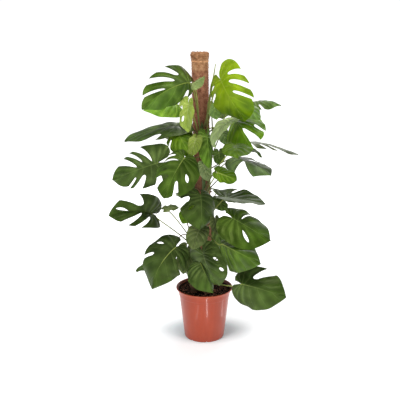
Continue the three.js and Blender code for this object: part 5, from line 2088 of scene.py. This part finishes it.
@dataclass(frozen=True)
class TerracottaPlastic:
    """Thin terracotta-coloured plastic: satin, streaked by the mould, and dark inside with dirt and painted
    shade.

    Attributes:
        base_radius: the pot's outer radius at the floor.
        taper: how much wider it gets for each millimetre of height.
    """

    base_radius: float
    taper: float

    def material(self) -> bpy.types.Material:
        """Builds the material.

        Returns:
            The finished material.
        """
        skin = Finish("terracotta_plastic")
        place = skin.place()
        height = skin.height(place) * 1000
        cloud, grain = skin.noise(place, 14, 3), skin.noise(place, 700, 2)
        streak = skin.noise(skin.place((1, 1, 0.04)), 60, 3)
        colour = skin.mix((0.33, 0.037, 0.009), (0.475, 0.064, 0.018), cloud * 0.5 + streak * 0.5)
        colour = skin.mix(colour, (0.56, 0.11, 0.042), height.ease(196, 222, 0.0, 0.45))
        scuff = skin.noise(skin.place((1, 1, 0.3)), 220, 4, 0.7).ease(0.62, 0.78)
        colour = skin.mix(colour, (0.30, 0.16, 0.12), scuff * height.ease(0, 40, 0.5, 0.08))
        colour = skin.mix(colour, (0.12, 0.05, 0.035), height.ease(0.0, 5.0, 0.6, 0.0))
        flat = skin.length(skin.place((1, 1, 0))) * 1000
        depth = flat - (height * self.taper + self.base_radius)
        above = height.ease(188.5, 190.0)
        # Inside the wall and on the inner rim the plastic is painted near black: partly dirt, partly painted
        # shade.
        inner_dirt_and_shade = (depth + grain * 0.8 - above * 0.6).ease(-2.1, -1.3, 0.96, 0.0) * height.ease(40.0, 60.0)
        inner_dirt_and_shade = inner_dirt_and_shade + flat.ease(113.0, 117.0, 0.9, 0.0) * height.ease(216.8, 217.4)
        colour = skin.mix(colour, (0.020, 0.011, 0.008), inner_dirt_and_shade)
        return skin.close(
            Base_Color=colour,
            Roughness=cloud * 0.08 + scuff * 0.12 + inner_dirt_and_shade * 0.4 + 0.3,
            Specular_IOR_Level=0.3,
            Coat_Weight=0.4,
            Coat_Roughness=0.08,
            Normal=skin.bump(streak * 0.8 + grain * 0.1, 0.0006, 0.35),
        )


# Studio


@dataclass(frozen=True)
class Softbox:
    """A square or oblong lamp that looks at a point; sizes and places are in metres."""

    name: str
    place: Point
    aim: Point
    width: float
    length: float
    power: float

    def build(self) -> None:
        """Hangs the lamp."""
        lamp = bpy.data.lights.new(self.name, "AREA")
        lamp.shape, lamp.size, lamp.size_y = "RECTANGLE", self.width, self.length
        lamp.energy = self.power
        holder = link(bpy.data.objects.new(self.name, lamp))
        holder.location = self.place
        way = Vector(self.aim) - Vector(self.place)
        holder.rotation_euler = way.to_track_quat("-Z", "Y").to_euler()
        holder.visible_camera = False


@dataclass
class Studio:
    """A white floor without an edge, soft lamps and the photograph's camera.

    Attributes:
        eye: where the camera stands, in metres.
        pitch: how far it looks down, in radians.
        focal_pixels: its focal length in pixels of the picture.
        picture: the picture's width in pixels.
        sensor: the sensor's width in millimetres.
        floor: half the floor's width, in metres.
        glow_reach: how far from the plant the floor's glow is described, in metres.
        glow: shares of that reach, each with how strongly the floor glows there.
        shade_middle: the middle of the unlit patch under the plant, in squashed metres.
        shade_squash: how far that patch is squashed along each axis.
        lamps: the softboxes.
    """

    eye: Point = (-0.0185, -3.0, 1.4194)
    pitch: float = 0.2655
    focal_pixels: float = 752.2
    picture: float = 400.0
    sensor: float = 36.0
    floor: float = 40.0
    glow_reach: float = 3.0
    glow: tuple[Pair, ...] = ((0.036, 0.0), (0.070, 0.43), (0.11, 0.45), (0.25, 0.40), (0.85, 0.95))
    shade_middle: Point = (0.0, 0.066, 0.0)
    shade_squash: Point = (0.95, 1.4, 1.0)
    lamps: tuple[Softbox, ...] = (
        Softbox("key_softbox", (-1.5, -2.0, 2.6), (0, 0, 0.6), 1.2, 1.2, 44),
        Softbox("fill_softbox", (1.9, -1.7, 1.7), (0, 0, 0.5), 0.9, 1.5, 15),
        Softbox("top_softbox", (0.2, 0.5, 3.0), (0, 0, 0.5), 1.6, 1.6, 36),
        Softbox("back_softbox", (0.6, 2.4, 1.8), (0, 0, 0.6), 1.6, 1.6, 14),
        Softbox("strip_middle", (0.058, -0.32, 0.004), (0.058, -0.32, 1.0), 0.010, 0.13, 0.13),
        Softbox("strip_left", (-0.14, -0.25, 0.004), (-0.14, -0.25, 1.0), 0.03, 0.12, 0.025),
        Softbox("strip_right", (0.31, -0.02, 0.004), (0.31, -0.02, 1.0), 0.14, 0.05, 0.05),
    )

    def _camera(self) -> None:
        """Sets the camera where the photograph was taken from."""
        data = bpy.data.cameras.new("camera")
        data.sensor_width = self.sensor
        data.lens = self.focal_pixels * self.sensor / self.picture
        data.clip_end = 200.0
        camera = link(bpy.data.objects.new("camera", data))
        camera.location = self.eye
        camera.rotation_euler = (math.pi / 2 - self.pitch, 0.0, 0.0)
        bpy.context.scene.camera = camera

    def _floor(self) -> None:
        """Lays the floor."""
        corners = [(x * self.floor, y * self.floor, 0) for x, y in ((-1, -1), (1, -1), (1, 1), (-1, 1))]
        mesh = bpy.data.meshes.new("studio_floor")
        mesh.from_pydata(corners, [], [(0, 1, 2, 3)])
        skin = Finish("studio_white")
        tone = skin.noise(skin.place(), 3.0, 2)
        values = {0: skin.place(self.shade_squash), 1: self.shade_middle}
        away = skin.length(skin.make("ShaderNodeVectorMath", values, operation="SUBTRACT"))
        glow = skin.ramp(away / self.glow_reach, [(at, (level,) * 3) for at, level in self.glow])
        # Painted shadow tint: near the plant the floor is painted bluer.
        near = skin.mix((0.76, 0.87, 0.91), (0.87, 0.87, 0.88), away.ease(0.1, 0.3) * 0.9 + tone * 0.1)
        paint = skin.close(Base_Color=near, Roughness=0.9, Emission_Color=glow, Emission_Strength=1.0)
        mesh.materials.append(paint)
        link(bpy.data.objects.new("studio_floor", mesh))

    def _sky(self) -> None:
        """Lights the room: white to the eye and softer as a lamp."""
        world = bpy.data.worlds.new("studio_room")
        world.use_nodes = True
        bpy.context.scene.world = world
        tree = NodeTree(world.node_tree)
        strength = tree.make("ShaderNodeLightPath", which="Is Camera Ray") * 0.7 + 0.35
        white = (1.0, 1.0, 1.0, 1.0)
        room = tree.make("ShaderNodeBackground", {"Color": white, "Strength": strength})
        tree.add("ShaderNodeOutputWorld", {"Surface": room})

    def build(self) -> None:
        """Sets up the camera, floor, lamps and colours."""
        self._camera()
        self._floor()
        self._sky()
        for lamp in self.lamps:
            lamp.build()
        bpy.context.scene.view_settings.view_transform = "Standard"
        bpy.context.scene.view_settings.look = "None"


def main() -> None:
    """Builds the studio and then the plant from the pot up."""
    logging.basicConfig(level=logging.INFO, format="%(name)s %(message)s")
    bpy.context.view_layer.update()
    Studio().build()
    pole = CoirPole()
    stems = ClimbingStems(pole)
    NurseryPot().build()
    SoilBed().build()
    pole.build()
    stems.build()
    Foliage(stems).build()


if __name__ == "__main__":
    main()
